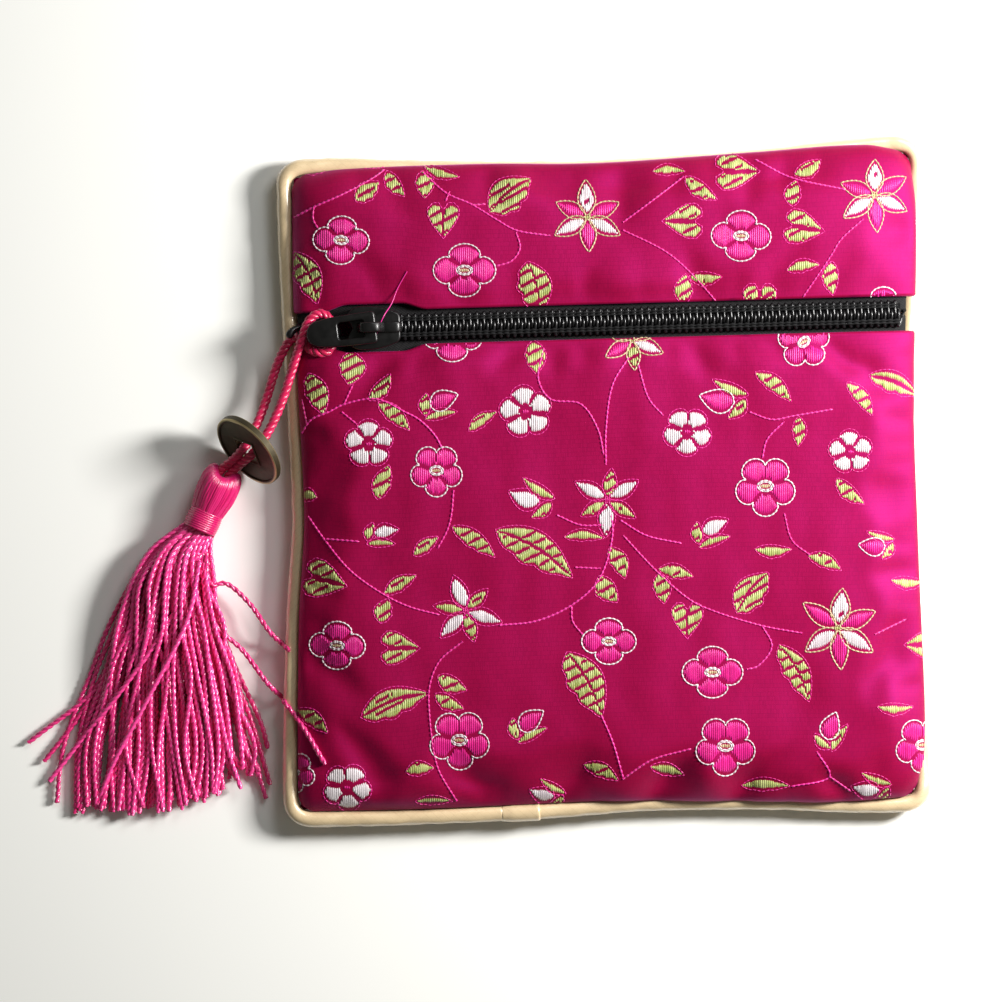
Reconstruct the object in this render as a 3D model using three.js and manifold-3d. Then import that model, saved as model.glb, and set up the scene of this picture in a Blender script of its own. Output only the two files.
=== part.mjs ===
// A zipped brocade coin pouch lying on its back, with satin piping all round its seam.
// A twisted cord ties a tassel and a pierced coin to the zip's pull.
// Millimetres. X runs to the pouch's right, Y towards its top seam and Z up from the table.

import * as THREE from 'three';
import { mergeVertices } from 'three/addons/utils/BufferGeometryUtils.js';
import Module from 'manifold-3d';

const wasm = await Module();
wasm.setup();

// Clearances
const FIT_GAP = 0.3;
const COIL_GAP = 0.15;

// Pouch body
const POUCH_WIDTH = 114.6;
const POUCH_HEIGHT = 118.4;
const CLOTH_WALL = 1.2;
const EDGE_RISE = 2.8;
const EDGE_RUN = 1.6;
const CROWN_RISE = 1.6;
const CROWN_RUN = 12;
const BACK_RUN = 14;
const ROLL_OUT = 2.2;
const ROLL_RUN = 1.0;

// Piping
const PIPING_DIAMETER = 2.8;
const PIPING_LIFT = 1.6;
const PIPING_DROP = 0.8;
const SEAM_EASE = 0.3;
const PIPING_STEPS = 126;
const JOIN_FROM_LEFT = 41.9;
const JOIN_LENGTH = 6.8;
const JOIN_SWELL = 0.5;

// Zip
const ZIP_BELOW_TOP = 28.7;
const ZIP_TILT = THREE.MathUtils.degToRad(1.6);
const ZIP_OPENING = 6.0;
const TAPE_WALL = 0.6;
const TAPE_WIDTH = 9;
const TAPE_END_INSET = 0.5;
const TAPE_HALF_GAP = 0.4;
const COIL_WIDTH = 4.2;
const COIL_THICKNESS = 1.5;
const TOOTH_PITCH = 1.2;
const TOOTH_REACH = 0.65;
const TAIL_DIAMETER = 1.4;

// Slider and pull tab
const SLIDER_FROM_LEFT = 16.2;
const SLIDER_LENGTH = 9.3;
const SLIDER_WIDE = 7.7;
const SLIDER_NARROW = 5.6;
const PLATE_THICKNESS = 0.9;
const FLANGE_WIDTH = 0.45;
const WEDGE_WIDTH = 1.5;
const BRIDGE_WIDTH = 1.8;
const BRIDGE_WALL = 0.9;
const BRIDGE_FROM_MIDDLE = -0.5;
const TAB_LENGTH = 12.3;
const TAB_WIDTH = 5.6;
const TAB_TIP_WIDTH = 4.6;
const TAB_THICKNESS = 1.1;
const TAB_BAR = 2.1;
const TAB_YAW = THREE.MathUtils.degToRad(5.4);
const TAB_TILT = THREE.MathUtils.degToRad(3);
const WINDOW_LENGTH = 4.6;
const WINDOW_WIDTH = 3.0;
const EYE_WIRE = 0.6;
const EYE_WIDTH = 1.2;

// Cord, coin and tassel
const CORD_DIAMETER = 1.7;
const CORD_STEPS = 64;
const COIN_DIAMETER = 14.2;
const COIN_THICKNESS = 0.9;
const COIN_RIM = 0.8;
const COIN_RELIEF = 0.2;
const COIN_HOLE = 4.6;
const HEAD_DIAMETER = 7.2;
const HEAD_LENGTH = 7;
const SOCKET_DEPTH = 2.6;
const BINDING_DIAMETER = 5.8;
const BINDING_WALL = 0.6;
const BINDING_LENGTH = 4.2;
const SKIRT_LENGTH = 50;
const LOCK_WIDTH = 5.2;
const LOCK_HEIGHT = 2.3;

// Corners of the piping's outer edge, as shares of the pouch's width and height from its middle
const CORNERS = [
  { name: 'bottom left', across: -0.493, up: -0.516, radius: 4.4 },
  { name: 'bottom right', across: 0.505, up: -0.492, radius: 3.4 },
  { name: 'top right', across: 0.495, up: 0.516, radius: 4.4 },
  { name: 'top left', across: -0.505, up: 0.477, radius: 3.4 },
];

// How far each side bows in, as a share of the pouch's width, and how far the front rolls over the
// piping there, from 0 to 1. Each side runs from its corner in the list above to the next one.
const SIDES = [
  [
    { along: 0, bow: 0, roll: 0 },
    { along: 0.2, bow: 0, roll: 0 },
    { along: 0.4, bow: 0.004, roll: 0 },
    { along: 0.56, bow: 0.012, roll: 0.3 },
    { along: 0.76, bow: 0.009, roll: 0.3 },
    { along: 0.88, bow: 0.002, roll: 0.1 },
    { along: 1, bow: 0, roll: 0 },
  ],
  [
    { along: 0, bow: 0, roll: 0 },
    { along: 0.14, bow: 0.004, roll: 0.7 },
    { along: 0.26, bow: 0.012, roll: 1 },
    { along: 0.42, bow: 0.017, roll: 1 },
    { along: 0.62, bow: 0.021, roll: 1 },
    { along: 0.78, bow: 0.014, roll: 0.6 },
    { along: 0.9, bow: 0.006, roll: 0.2 },
    { along: 1, bow: 0, roll: 0 },
  ],
  [
    { along: 0, bow: 0, roll: 0 },
    { along: 0.14, bow: 0, roll: 0.2 },
    { along: 0.26, bow: 0.012, roll: 0.6 },
    { along: 0.5, bow: 0.019, roll: 0.6 },
    { along: 0.72, bow: 0.012, roll: 0.4 },
    { along: 0.92, bow: 0, roll: 0 },
    { along: 1, bow: 0, roll: 0 },
  ],
  [
    { along: 0, bow: 0, roll: 0 },
    { along: 0.18, bow: 0.005, roll: 0 },
    { along: 0.34, bow: 0.012, roll: 0 },
    { along: 0.54, bow: 0.019, roll: 0 },
    { along: 0.7, bow: 0.008, roll: 0 },
    { along: 0.9, bow: 0.001, roll: 0 },
    { along: 1, bow: 0, roll: 0 },
  ],
];

// Soft hollows pressed in the padded front, as shares of the pouch's width and height
const HOLLOWS = [
  { across: -0.24, up: -0.22, wide: 0.16, tall: 0.2, depth: 0.5 },
  { across: 0.02, up: 0.36, wide: 0.2, tall: 0.06, depth: 0.4 },
  { across: -0.08, up: 0.02, wide: 0.12, tall: 0.1, depth: 0.35 },
  { across: 0.26, up: -0.3, wide: 0.14, tall: 0.1, depth: 0.4 },
  { across: 0.3, up: 0.08, wide: 0.1, tall: 0.12, depth: 0.3 },
];

// Distances from a seam where the cloth's mesh has a row, close together where it turns fastest,
// and the pitch of the rows between them
const EDGE_ROWS = [0, 0.35, 0.9, 1.9, 4, 8];
const ROW_PITCH = 13.2;

// Route of the cord from inside the tassel's head through the coin, round the pull and back, with
// across and up measured from the pull's eye, and height from the table
const CORD_ROUTE = [
  [-19.3, -26.9, 3.7],
  [-18.4, -24.9, 3.8],
  [-16.5, -23.1, 5.0],
  [-14.2, -21.2, 6.6],
  [-12.4, -19.0, 6.9],
  [-10.6, -15.8, 6.4],
  [-8.8, -11.4, 6.0],
  [-7.4, -7.0, 6.2],
  [-6.2, -3.3, 7.3],
  [-5.5, -1.3, 8.4],
  [-5.1, -0.2, 8.7],
  [-4.5, 1.4, 8.6],
  [-3.7, 2.6, 8.5],
  [-2.5, 3.3, 8.4],
  [-1.2, 3.0, 8.35],
  [-0.3, 1.8, 8.3],
  [0.0, 0.0, 8.3],
  [0.0, -1.8, 8.3],
  [-0.7, -3.1, 8.3],
  [-2.2, -3.5, 8.25],
  [-3.5, -3.2, 7.9],
  [-4.6, -2.3, 7.3],
  [-5.5, -1.2, 6.5],
  [-6.5, -0.7, 5.9],
  [-7.7, -1.4, 5.6],
  [-8.8, -3.1, 5.3],
  [-10.2, -6.2, 4.3],
  [-11.8, -11.4, 3.9],
  [-13.4, -15.9, 5.2],
  [-15.4, -19.8, 6.6],
  [-17.6, -22.2, 5.2],
  [-20.0, -24.2, 3.8],
  [-20.9, -26.2, 3.7],
];

// The coin leans on the cord, and the tassel's head lies on the table, both placed from the eye
const COIN_PLACE = { across: -14.8, up: -20.5 };
const COIN_FACING = new THREE.Vector3(-0.65, -0.593, 0.475).normalize();
const HEAD_PLACE = { across: -19.2, up: -24.6 };
const HEAD_AXIS = new THREE.Vector3(0.417, 0.909, 0).normalize();

// Locks of the tassel's skirt, the last of those on the table lying nearest the pouch. Turn is the
// angle of a lock's tip from the head's own line, in degrees towards the pouch, reach a share of the
// skirt's length, bow its sideways bend as a share of it, and layer 0 lies on the table and 1 on the
// locks below.
const LAST_BOTTOM_TURN = 41;
const LOCKS = [
  { turn: -14, reach: 0.97, bow: 0.03, layer: 0 },
  { turn: -7, reach: 1.02, bow: 0.02, layer: 0 },
  { turn: -1, reach: 0.98, bow: 0.02, layer: 0 },
  { turn: 5, reach: 1.03, bow: 0.01, layer: 0 },
  { turn: 11, reach: 1.02, bow: 0, layer: 0 },
  { turn: 17, reach: 1.01, bow: -0.01, layer: 0 },
  { turn: 23, reach: 1.0, bow: -0.02, layer: 0 },
  { turn: 29, reach: 0.99, bow: -0.03, layer: 0 },
  { turn: 35, reach: 0.98, bow: -0.05, layer: 0 },
  { turn: LAST_BOTTOM_TURN, reach: 0.93, bow: -0.08, layer: 0 },
  { turn: 4, reach: 0.93, bow: 0.02, layer: 1 },
  { turn: 12, reach: 0.96, bow: 0, layer: 1 },
  { turn: 20, reach: 0.95, bow: -0.01, layer: 1 },
  { turn: 28, reach: 0.9, bow: -0.03, layer: 1 },
];

const UP = new THREE.Vector3(0, 0, 1);

// Colours of the cloth, thread, metal and plastic
function finish(color, roughness, metalness = 0) {
  return new THREE.MeshStandardMaterial({ color, roughness, metalness });
}

const brocade = finish(0xb01458, 0.45);
const satin = finish(0xd8bc8a, 0.4);
const zipCloth = finish(0x16151a, 0.85);
const nylon = finish(0x1b1a1c, 0.35);
const blackPaint = finish(0x0c0c0d, 0.3, 0.2);
const silkCord = finish(0xd0225c, 0.4);
const agedBrass = finish(0x6a5a38, 0.5, 0.9);
const tasselSilk = finish(0xd42468, 0.4);

// A value read from a table's rows, smooth from each row to the next
function readTable(rows, column, along) {
  let next = rows.findIndex((row) => row.along >= along);
  next = Math.max(1, next < 0 ? rows.length - 1 : next);
  const slopeAt = (k) => {
    const before = rows[Math.max(0, k - 1)];
    const after = rows[Math.min(rows.length - 1, k + 1)];
    return (after[column] - before[column]) / (after.along - before.along);
  };
  const a = rows[next - 1];
  const b = rows[next];
  const span = b.along - a.along;
  const t = THREE.MathUtils.clamp((along - a.along) / span, 0, 1);
  const s = t * t * (3 - 2 * t);
  const swing = t * (1 - t) * span;
  return a[column] + (b[column] - a[column]) * s
    + swing * ((1 - t) * slopeAt(next - 1) - t * slopeAt(next));
}

// Corners of the outline, moved in by the same inset from both of their sides
function cornerAt(k, inset) {
  const place = (n) => {
    const corner = CORNERS[(n + CORNERS.length) % CORNERS.length];
    return new THREE.Vector2(corner.across * POUCH_WIDTH, corner.up * POUCH_HEIGHT);
  };
  const here = place(k);
  const before = inwardNormal(place(k - 1), here);
  const after = inwardNormal(here, place(k + 1));
  const sum = before.clone().add(after);
  return here.add(sum.multiplyScalar(inset / (1 + before.dot(after))));
}

// Sides run anticlockwise, so the pouch lies to the left of each one
function inwardNormal(from, to) {
  const run = to.clone().sub(from).normalize();
  return new THREE.Vector2(-run.y, run.x);
}

function rollAt(side, along) {
  return THREE.MathUtils.clamp(readTable(SIDES[side], 'roll', along), 0, 1);
}

// A point on one side of the outline, at an inset from the piping's outer edge
function sidePoint(side, along, inset, cornerInset = inset) {
  const from = cornerAt(side, cornerInset);
  const to = cornerAt(side + 1, cornerInset);
  const inward = inwardNormal(from, to);
  const depth = readTable(SIDES[side], 'bow', along) * POUCH_WIDTH + inset - cornerInset;
  return from.clone().lerp(to, along).addScaledVector(inward, depth);
}

// Middle height of the piping, lower where the front is rolled over it
function pipingHeight(roll) {
  return PIPING_LIFT + PIPING_DIAMETER / 2 - PIPING_DROP * roll;
}

// Middle of the front wall where it meets the piping: beside it, or on top of it where it is rolled
function frontSeam(side, along) {
  const roll = rollAt(side, along);
  const beside = PIPING_DIAMETER + FIT_GAP + SEAM_EASE;
  const inset = beside - roll * (PIPING_DIAMETER / 2 - FIT_GAP);
  const point = sidePoint(side, along, inset, beside);
  const besideLift = (CLOTH_WALL + FIT_GAP) / 2;
  const overLift = PIPING_DIAMETER / 2 + FIT_GAP + CLOTH_WALL / 2;
  const lift = THREE.MathUtils.lerp(besideLift, overLift, roll);
  return new THREE.Vector3(point.x, point.y, pipingHeight(roll) + lift);
}

function backSeam(side, along) {
  const inset = PIPING_DIAMETER + FIT_GAP + SEAM_EASE;
  const point = sidePoint(side, along, inset);
  const drop = (CLOTH_WALL + FIT_GAP) / 2;
  return new THREE.Vector3(point.x, point.y, pipingHeight(rollAt(side, along)) - drop);
}

// A patch between the four seams: u runs to the right and v upwards, each from 0 to 1
function seamPatch(seam, u, v) {
  const bottom = seam(0, u);
  const right = seam(1, v);
  const top = seam(2, 1 - u);
  const left = seam(3, 1 - v);
  const blend = new THREE.Vector3();
  blend.addScaledVector(bottom, 1 - v).addScaledVector(top, v);
  blend.addScaledVector(left, 1 - u).addScaledVector(right, u);
  blend.addScaledVector(seam(0, 0), -(1 - u) * (1 - v));
  blend.addScaledVector(seam(0, 1), -u * (1 - v));
  blend.addScaledVector(seam(2, 1), -(1 - u) * v);
  blend.addScaledVector(seam(2, 0), -u * v);
  const edges = [bottom, right, top, left];
  const reach = edges.map((edge) => Math.hypot(edge.x - blend.x, edge.y - blend.y));
  return { point: blend, edges, reach };
}

// Seam height carried into the patch, each side counting most near itself
function seamHeight(edges, reach) {
  const weights = reach.map((distance) => 1 / (distance + 0.01) ** 2);
  const total = weights.reduce((sum, weight) => sum + weight, 0);
  return edges.reduce((sum, edge, k) => sum + edge.z * weights[k], 0) / total;
}

function hollowAt(x, y) {
  return HOLLOWS.reduce((sum, hollow) => {
    const a = (x / POUCH_WIDTH - hollow.across) / hollow.wide;
    const b = (y / POUCH_HEIGHT - hollow.up) / hollow.tall;
    return sum + hollow.depth * Math.exp(-a * a - b * b);
  }, 0);
}

// The middle of the padded front wall, which bulges out over the piping where it is rolled
function frontPoint(u, v) {
  const { point, edges, reach } = seamPatch(frontSeam, u, v);
  const rise = (run) => reach.reduce((share, distance) => share * (1 - Math.exp(-distance / run)), 1);
  const edgeRise = rise(EDGE_RUN);
  const height = seamHeight(edges, reach) + EDGE_RISE * edgeRise + CROWN_RISE * rise(CROWN_RUN)
    - hollowAt(point.x, point.y) * edgeRise;
  const alongSides = [u, v, 1 - u, 1 - v];
  alongSides.forEach((along, side) => {
    const w = reach[side] / ROLL_RUN;
    const outward = inwardNormal(cornerAt(side, 0), cornerAt(side + 1, 0)).negate();
    const swell = ROLL_OUT * rollAt(side, along) * w * Math.exp(1 - w);
    point.x += outward.x * swell;
    point.y += outward.y * swell;
  });
  return new THREE.Vector3(point.x, point.y, height);
}

// The back lies flat on the table and lifts to its seam near the edge
function backPoint(u, v) {
  const { point, edges, reach } = seamPatch(backSeam, u, v);
  const flat = CLOTH_WALL / 2;
  const level = reach.reduce((share, distance) => {
    return share * THREE.MathUtils.smoothstep(distance, 0, BACK_RUN);
  }, 1);
  const height = flat + (seamHeight(edges, reach) - flat) * (1 - level);
  return new THREE.Vector3(point.x, point.y, level > 0.9999 ? flat : height);
}

// Height of the zip's line over the pouch's middle line
function zipLine(x) {
  const top = sidePoint(2, 0.5, 0);
  return top.y - ZIP_BELOW_TOP + Math.tan(ZIP_TILT) * x;
}

// The patch's v where the front crosses a line that runs beside the zip
function crossingV(u, offset) {
  let low = 0;
  let high = 1;
  for (let step = 0; step < 30; step += 1) {
    const v = (low + high) / 2;
    const point = frontPoint(u, v);
    if (point.y < zipLine(point.x) + offset) {
      low = v;
    } else {
      high = v;
    }
  }
  return (low + high) / 2;
}

// The patch's u of a point on the zip's line at a chosen x
function zipU(x) {
  let low = 0.01;
  let high = 0.99;
  for (let step = 0; step < 24; step += 1) {
    const u = (low + high) / 2;
    const point = frontPoint(u, crossingV(u, 0));
    if (point.x < x) {
      low = u;
    } else {
      high = u;
    }
  }
  return (low + high) / 2;
}

// Shares from 0 to 1 with rows close together near the ends that are seams
function rowsBetween(length, startIsSeam, endIsSeam) {
  const start = startIsSeam ? EDGE_ROWS : [0];
  const end = endIsSeam ? EDGE_ROWS.map((row) => length - row).reverse() : [length];
  const from = start[start.length - 1];
  const to = end[0];
  const middle = [];
  const count = Math.max(1, Math.round((to - from) / ROW_PITCH));
  for (let k = 1; k < count; k += 1) {
    middle.push(from + (to - from) * k / count);
  }
  return [...start, ...middle, ...end].map((row) => row / length);
}

// Surface normals of a grid of points, pointing up
function gridNormals(grid) {
  return grid.map((row, r) => row.map((point, c) => {
    const left = row[Math.max(0, c - 1)];
    const right = row[Math.min(row.length - 1, c + 1)];
    const below = grid[Math.max(0, r - 1)][c];
    const above = grid[Math.min(grid.length - 1, r + 1)][c];
    const across = right.clone().sub(left);
    const along = above.clone().sub(below);
    return across.cross(along).normalize();
  }));
}

// A closed wall from two grids of points, the upper face first
function wallBetween(upper, lower) {
  const rows = upper.length;
  const columns = upper[0].length;
  const positions = [];
  [upper, lower].forEach((grid) => grid.flat().forEach((point) => positions.push(...point.toArray())));
  const top = (r, c) => r * columns + c;
  const under = (r, c) => rows * columns + r * columns + c;
  const index = [];
  for (let r = 0; r < rows - 1; r += 1) {
    for (let c = 0; c < columns - 1; c += 1) {
      index.push(top(r, c), top(r, c + 1), top(r + 1, c + 1));
      index.push(top(r, c), top(r + 1, c + 1), top(r + 1, c));
      index.push(under(r, c), under(r + 1, c + 1), under(r, c + 1));
      index.push(under(r, c), under(r + 1, c), under(r + 1, c + 1));
    }
  }
  const rim = [];
  for (let c = 0; c < columns - 1; c += 1) {
    rim.push([0, c]);
  }
  for (let r = 0; r < rows - 1; r += 1) {
    rim.push([r, columns - 1]);
  }
  for (let c = columns - 1; c > 0; c -= 1) {
    rim.push([rows - 1, c]);
  }
  for (let r = rows - 1; r > 0; r -= 1) {
    rim.push([r, 0]);
  }
  rim.forEach((from, k) => {
    const to = rim[(k + 1) % rim.length];
    index.push(under(...from), under(...to), top(...to));
    index.push(under(...from), top(...to), top(...from));
  });
  return facets(positions, index);
}

function facets(positions, index) {
  const geometry = new THREE.BufferGeometry();
  geometry.setAttribute('position', new THREE.Float32BufferAttribute(positions, 3));
  geometry.setIndex(index);
  geometry.computeVertexNormals();
  return geometry;
}

// A wall of even thickness, with its middle on a grid moved down by drop
function clothWall(grid, wall, drop = 0) {
  const normals = gridNormals(grid);
  const moved = (distance) => grid.map((row, r) => row.map((point, c) => {
    return point.clone().addScaledVector(normals[r][c], distance);
  }));
  return wallBetween(moved(wall / 2 - drop), moved(-wall / 2 - drop));
}

// A closed tube through rings that each turn anticlockwise about the way the tube runs
function tubeThrough(rings) {
  const sides = rings[0].length;
  const positions = rings.flat().flatMap((point) => point.toArray());
  const index = [];
  for (let r = 0; r < rings.length - 1; r += 1) {
    for (let k = 0; k < sides; k += 1) {
      const a = r * sides + k;
      const b = r * sides + (k + 1) % sides;
      index.push(a, b, b + sides, a, b + sides, a + sides);
    }
  }
  const last = (rings.length - 1) * sides;
  for (let k = 1; k < sides - 1; k += 1) {
    index.push(0, k + 1, k);
    index.push(last, last + k, last + k + 1);
  }
  return facets(positions, index);
}

// Oval rings along a path, each upright across the path's direction
function ringsAlong(path, halfWidths, halfHeights, sides) {
  return path.map((point, k) => {
    const before = path[Math.max(0, k - 1)];
    const after = path[Math.min(path.length - 1, k + 1)];
    const forward = after.clone().sub(before).normalize();
    const across = UP.clone().cross(forward).normalize();
    const rise = forward.clone().cross(across);
    return Array.from({ length: sides }, (_, side) => {
      const angle = 2 * Math.PI * side / sides;
      return point.clone()
        .addScaledVector(across, halfWidths[k] * Math.cos(angle))
        .addScaledVector(rise, halfHeights[k] * Math.sin(angle));
    });
  });
}

function solidOf(geometry) {
  const bare = geometry.clone();
  bare.deleteAttribute('normal');
  bare.deleteAttribute('uv');
  const merged = mergeVertices(bare, 1e-4);
  return new wasm.Manifold(new wasm.Mesh({
    numProp: 3,
    vertProperties: merged.attributes.position.array,
    triVerts: new Uint32Array(merged.index.array),
  }));
}

function geometryOf(solid) {
  const mesh = solid.getMesh();
  return facets(Array.from(mesh.vertProperties), Array.from(mesh.triVerts));
}

function joined(geometries) {
  return geometryOf(geometries.map(solidOf).reduce((whole, next) => whole.add(next)));
}

const pouch = new THREE.Group();

function addPiece(name, geometry, material, parent = pouch) {
  const mesh = new THREE.Mesh(geometry, material);
  mesh.name = name;
  parent.add(mesh);
  return mesh;
}

// Half the zip's opening in the cloth, whose edges the slider pushes apart
function halfOpening(u) {
  const away = Math.abs(frontPoint(u, crossingV(u, 0)).x - sliderX());
  const pushed = 1 - THREE.MathUtils.smoothstep(away, SLIDER_LENGTH / 2, SLIDER_LENGTH);
  return THREE.MathUtils.lerp(ZIP_OPENING / 2, SLIDER_WIDE / 2 + FIT_GAP, pushed);
}

// Columns of the front, with some where the slider pushes the cloth aside in place of the even ones
function frontColumns() {
  const pushed = [-1, -0.5, 0, 0.5, 1].map((share) => zipU(sliderX() + share * SLIDER_LENGTH));
  const before = (EDGE_ROWS[4] + FIT_GAP) / POUCH_WIDTH;
  const after = pushed[pushed.length - 1] + SLIDER_LENGTH / 2 / POUCH_WIDTH;
  const even = rowsBetween(POUCH_WIDTH, true, true).filter((u) => u < before || u > after);
  return [...even, ...pushed].sort((a, b) => a - b);
}

// Front panels, which stop at the two sides of the zip
function frontGrid(lowV, highV, seamBelow, seamAbove) {
  const columns = frontColumns();
  const tall = (highV(0.5) - lowV(0.5)) * POUCH_HEIGHT;
  const rows = rowsBetween(tall, seamBelow, seamAbove);
  return rows.map((row) => columns.map((u) => {
    const v = THREE.MathUtils.lerp(lowV(u), highV(u), row);
    return frontPoint(u, v);
  }));
}

function addPanels() {
  const belowZip = (u) => crossingV(u, -halfOpening(u));
  const aboveZip = (u) => crossingV(u, halfOpening(u));
  const lower = frontGrid(() => 0, belowZip, true, false);
  const upper = frontGrid(aboveZip, () => 1, false, true);
  addPiece('front_lower_panel', clothWall(lower, CLOTH_WALL), brocade);
  addPiece('front_upper_panel', clothWall(upper, CLOTH_WALL), brocade);
  const columns = rowsBetween(POUCH_WIDTH, true, true);
  const rows = rowsBetween(POUCH_HEIGHT, true, true);
  const back = rows.map((v) => columns.map((u) => backPoint(u, v)));
  addPiece('back_panel', clothWall(back, CLOTH_WALL), brocade);
}

// Middle line of the piping, once round from its join on the bottom seam
function pipingPath() {
  const inset = PIPING_DIAMETER / 2;
  const path = [];
  SIDES.forEach((_, side) => {
    const length = sideLength(side, inset);
    const startCut = (CORNERS[side].radius - inset) / length;
    const following = (side + 1) % CORNERS.length;
    const endCut = (CORNERS[following].radius - inset) / length;
    const steps = 16;
    for (let k = 0; k <= steps; k += 1) {
      const along = THREE.MathUtils.lerp(startCut, 1 - endCut, k / steps);
      const point = sidePoint(side, along, inset);
      path.push(new THREE.Vector3(point.x, point.y, pipingHeight(rollAt(side, along))));
    }
    const bend = cornerAt(side + 1, inset);
    const leave = path[path.length - 1];
    const nextFrom = sidePoint(following, endCut * length / sideLength(following, inset), inset);
    const turn = new THREE.QuadraticBezierCurve(
      new THREE.Vector2(leave.x, leave.y), bend, nextFrom);
    turn.getPoints(4).slice(1, -1).forEach((point) => {
      path.push(new THREE.Vector3(point.x, point.y, pipingHeight(0)));
    });
  });
  return path;
}

function sideLength(side, inset) {
  return cornerAt(side, inset).distanceTo(cornerAt(side + 1, inset));
}

function addPiping() {
  const loop = new THREE.CatmullRomCurve3(pipingPath(), true, 'centripetal');
  const radius = PIPING_DIAMETER / 2;
  const whole = loop.getLength();
  // The loop starts where the bottom left corner's turn ends
  const joinAt = (JOIN_FROM_LEFT - CORNERS[0].radius) / whole;
  const half = JOIN_LENGTH / 2 / whole;
  const gap = FIT_GAP / whole;
  const points = (from, to, count) => Array.from({ length: count + 1 }, (_, k) => {
    return loop.getPointAt((THREE.MathUtils.lerp(from, to, k / count) + 1) % 1);
  });
  const bead = points(joinAt + half + gap, joinAt + 1 - half - gap, PIPING_STEPS);
  const even = bead.map(() => radius);
  addPiece('piping', tubeThrough(ringsAlong(bead, even, even, 8)), satin);
  const sleeve = points(joinAt - half, joinAt + half, 6);
  const swollen = sleeve.map((_, k) => {
    return radius + JOIN_SWELL / 2 * Math.sin(Math.PI * (k + 1) / (sleeve.length + 2));
  });
  addPiece('piping_join', tubeThrough(ringsAlong(sleeve, swollen, swollen, 10)), satin);
}

// The middle of the cloth over the zip's line, kept for each x because the coils ask for many
const zipCache = new Map();

function zipFrame(x) {
  if (!zipCache.has(x)) {
    const u = zipU(x);
    zipCache.set(x, frontPoint(u, crossingV(u, 0)));
  }
  return zipCache.get(x);
}

// How far the two tapes and coils are held apart by the slider's wedge
function zipSpread(x) {
  const throat = sliderX() + SLIDER_LENGTH * 0.2;
  const open = WEDGE_WIDTH / 2 + FIT_GAP;
  const leftEnd = zipEnd(-1);
  const opened = THREE.MathUtils.smoothstep(throat - x, 0, SLIDER_LENGTH * 0.45);
  const closing = THREE.MathUtils.smoothstep(x, leftEnd, sliderX() - SLIDER_LENGTH / 2);
  return open * opened * closing;
}

function zipEnd(hand) {
  const seam = frontPoint(hand < 0 ? 0 : 1, crossingV(hand < 0 ? 0 : 1, 0));
  return seam.x - hand * TAPE_END_INSET;
}

function sliderX() {
  return frontPoint(0, crossingV(0, 0)).x + SLIDER_FROM_LEFT - PIPING_DIAMETER;
}

// The tapes lie under the cloth's folded edges and follow its curve
function tapeGrid(hand) {
  const from = zipEnd(-1);
  const to = zipEnd(1);
  const near = sliderX();
  const half = SLIDER_LENGTH / 2;
  const [, , start, bend, level] = EDGE_ROWS;
  const steps = [from, from + start, from + bend, from + level, near - half, near, near + half];
  const rest = 8;
  for (let k = 1; k <= rest; k += 1) {
    steps.push(THREE.MathUtils.lerp(near + half, to - bend, k / rest));
  }
  steps.push(to - start, to);
  const rows = [0, 0.3, 1].map((share) => steps.map((x) => {
    const u = zipU(x);
    const inner = TAPE_HALF_GAP + zipSpread(x);
    const offset = hand * THREE.MathUtils.lerp(inner, TAPE_WIDTH, share);
    return frontPoint(u, crossingV(u, offset));
  }));
  return hand > 0 ? rows : rows.reverse();
}

function addTapes() {
  const drop = CLOTH_WALL / 2 + FIT_GAP + TAPE_WALL / 2;
  addPiece('zip_tape_upper', clothWall(tapeGrid(1), TAPE_WALL, drop), zipCloth);
  addPiece('zip_tape_lower', clothWall(tapeGrid(-1), TAPE_WALL, drop), zipCloth);
}

// Each coil is a comb, whose teeth point across the middle and fit between the other's
function coilComb(hand) {
  const from = sliderX() - SLIDER_LENGTH * 0.3;
  const to = zipEnd(1);
  const teeth = Math.floor((to - from) / TOOTH_PITCH);
  const base = -CLOTH_WALL / 2 - FIT_GAP + COIL_GAP;
  const inner = [];
  const outer = [];
  for (let k = 0; k <= 2 * teeth; k += 1) {
    const x = from + k * TOOTH_PITCH / 2;
    const centre = zipFrame(x);
    const reach = (k % 2 ? TOOTH_REACH : -TOOTH_REACH) + hand * (COIL_GAP * 1.2 + zipSpread(x));
    inner.push(new THREE.Vector3(centre.x, centre.y + reach, centre.z + base));
    const edge = hand * (COIL_WIDTH / 2 + zipSpread(x));
    outer.push(new THREE.Vector3(centre.x, centre.y + edge, centre.z + base));
  }
  return combGeometry(inner, outer, hand);
}

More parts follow.
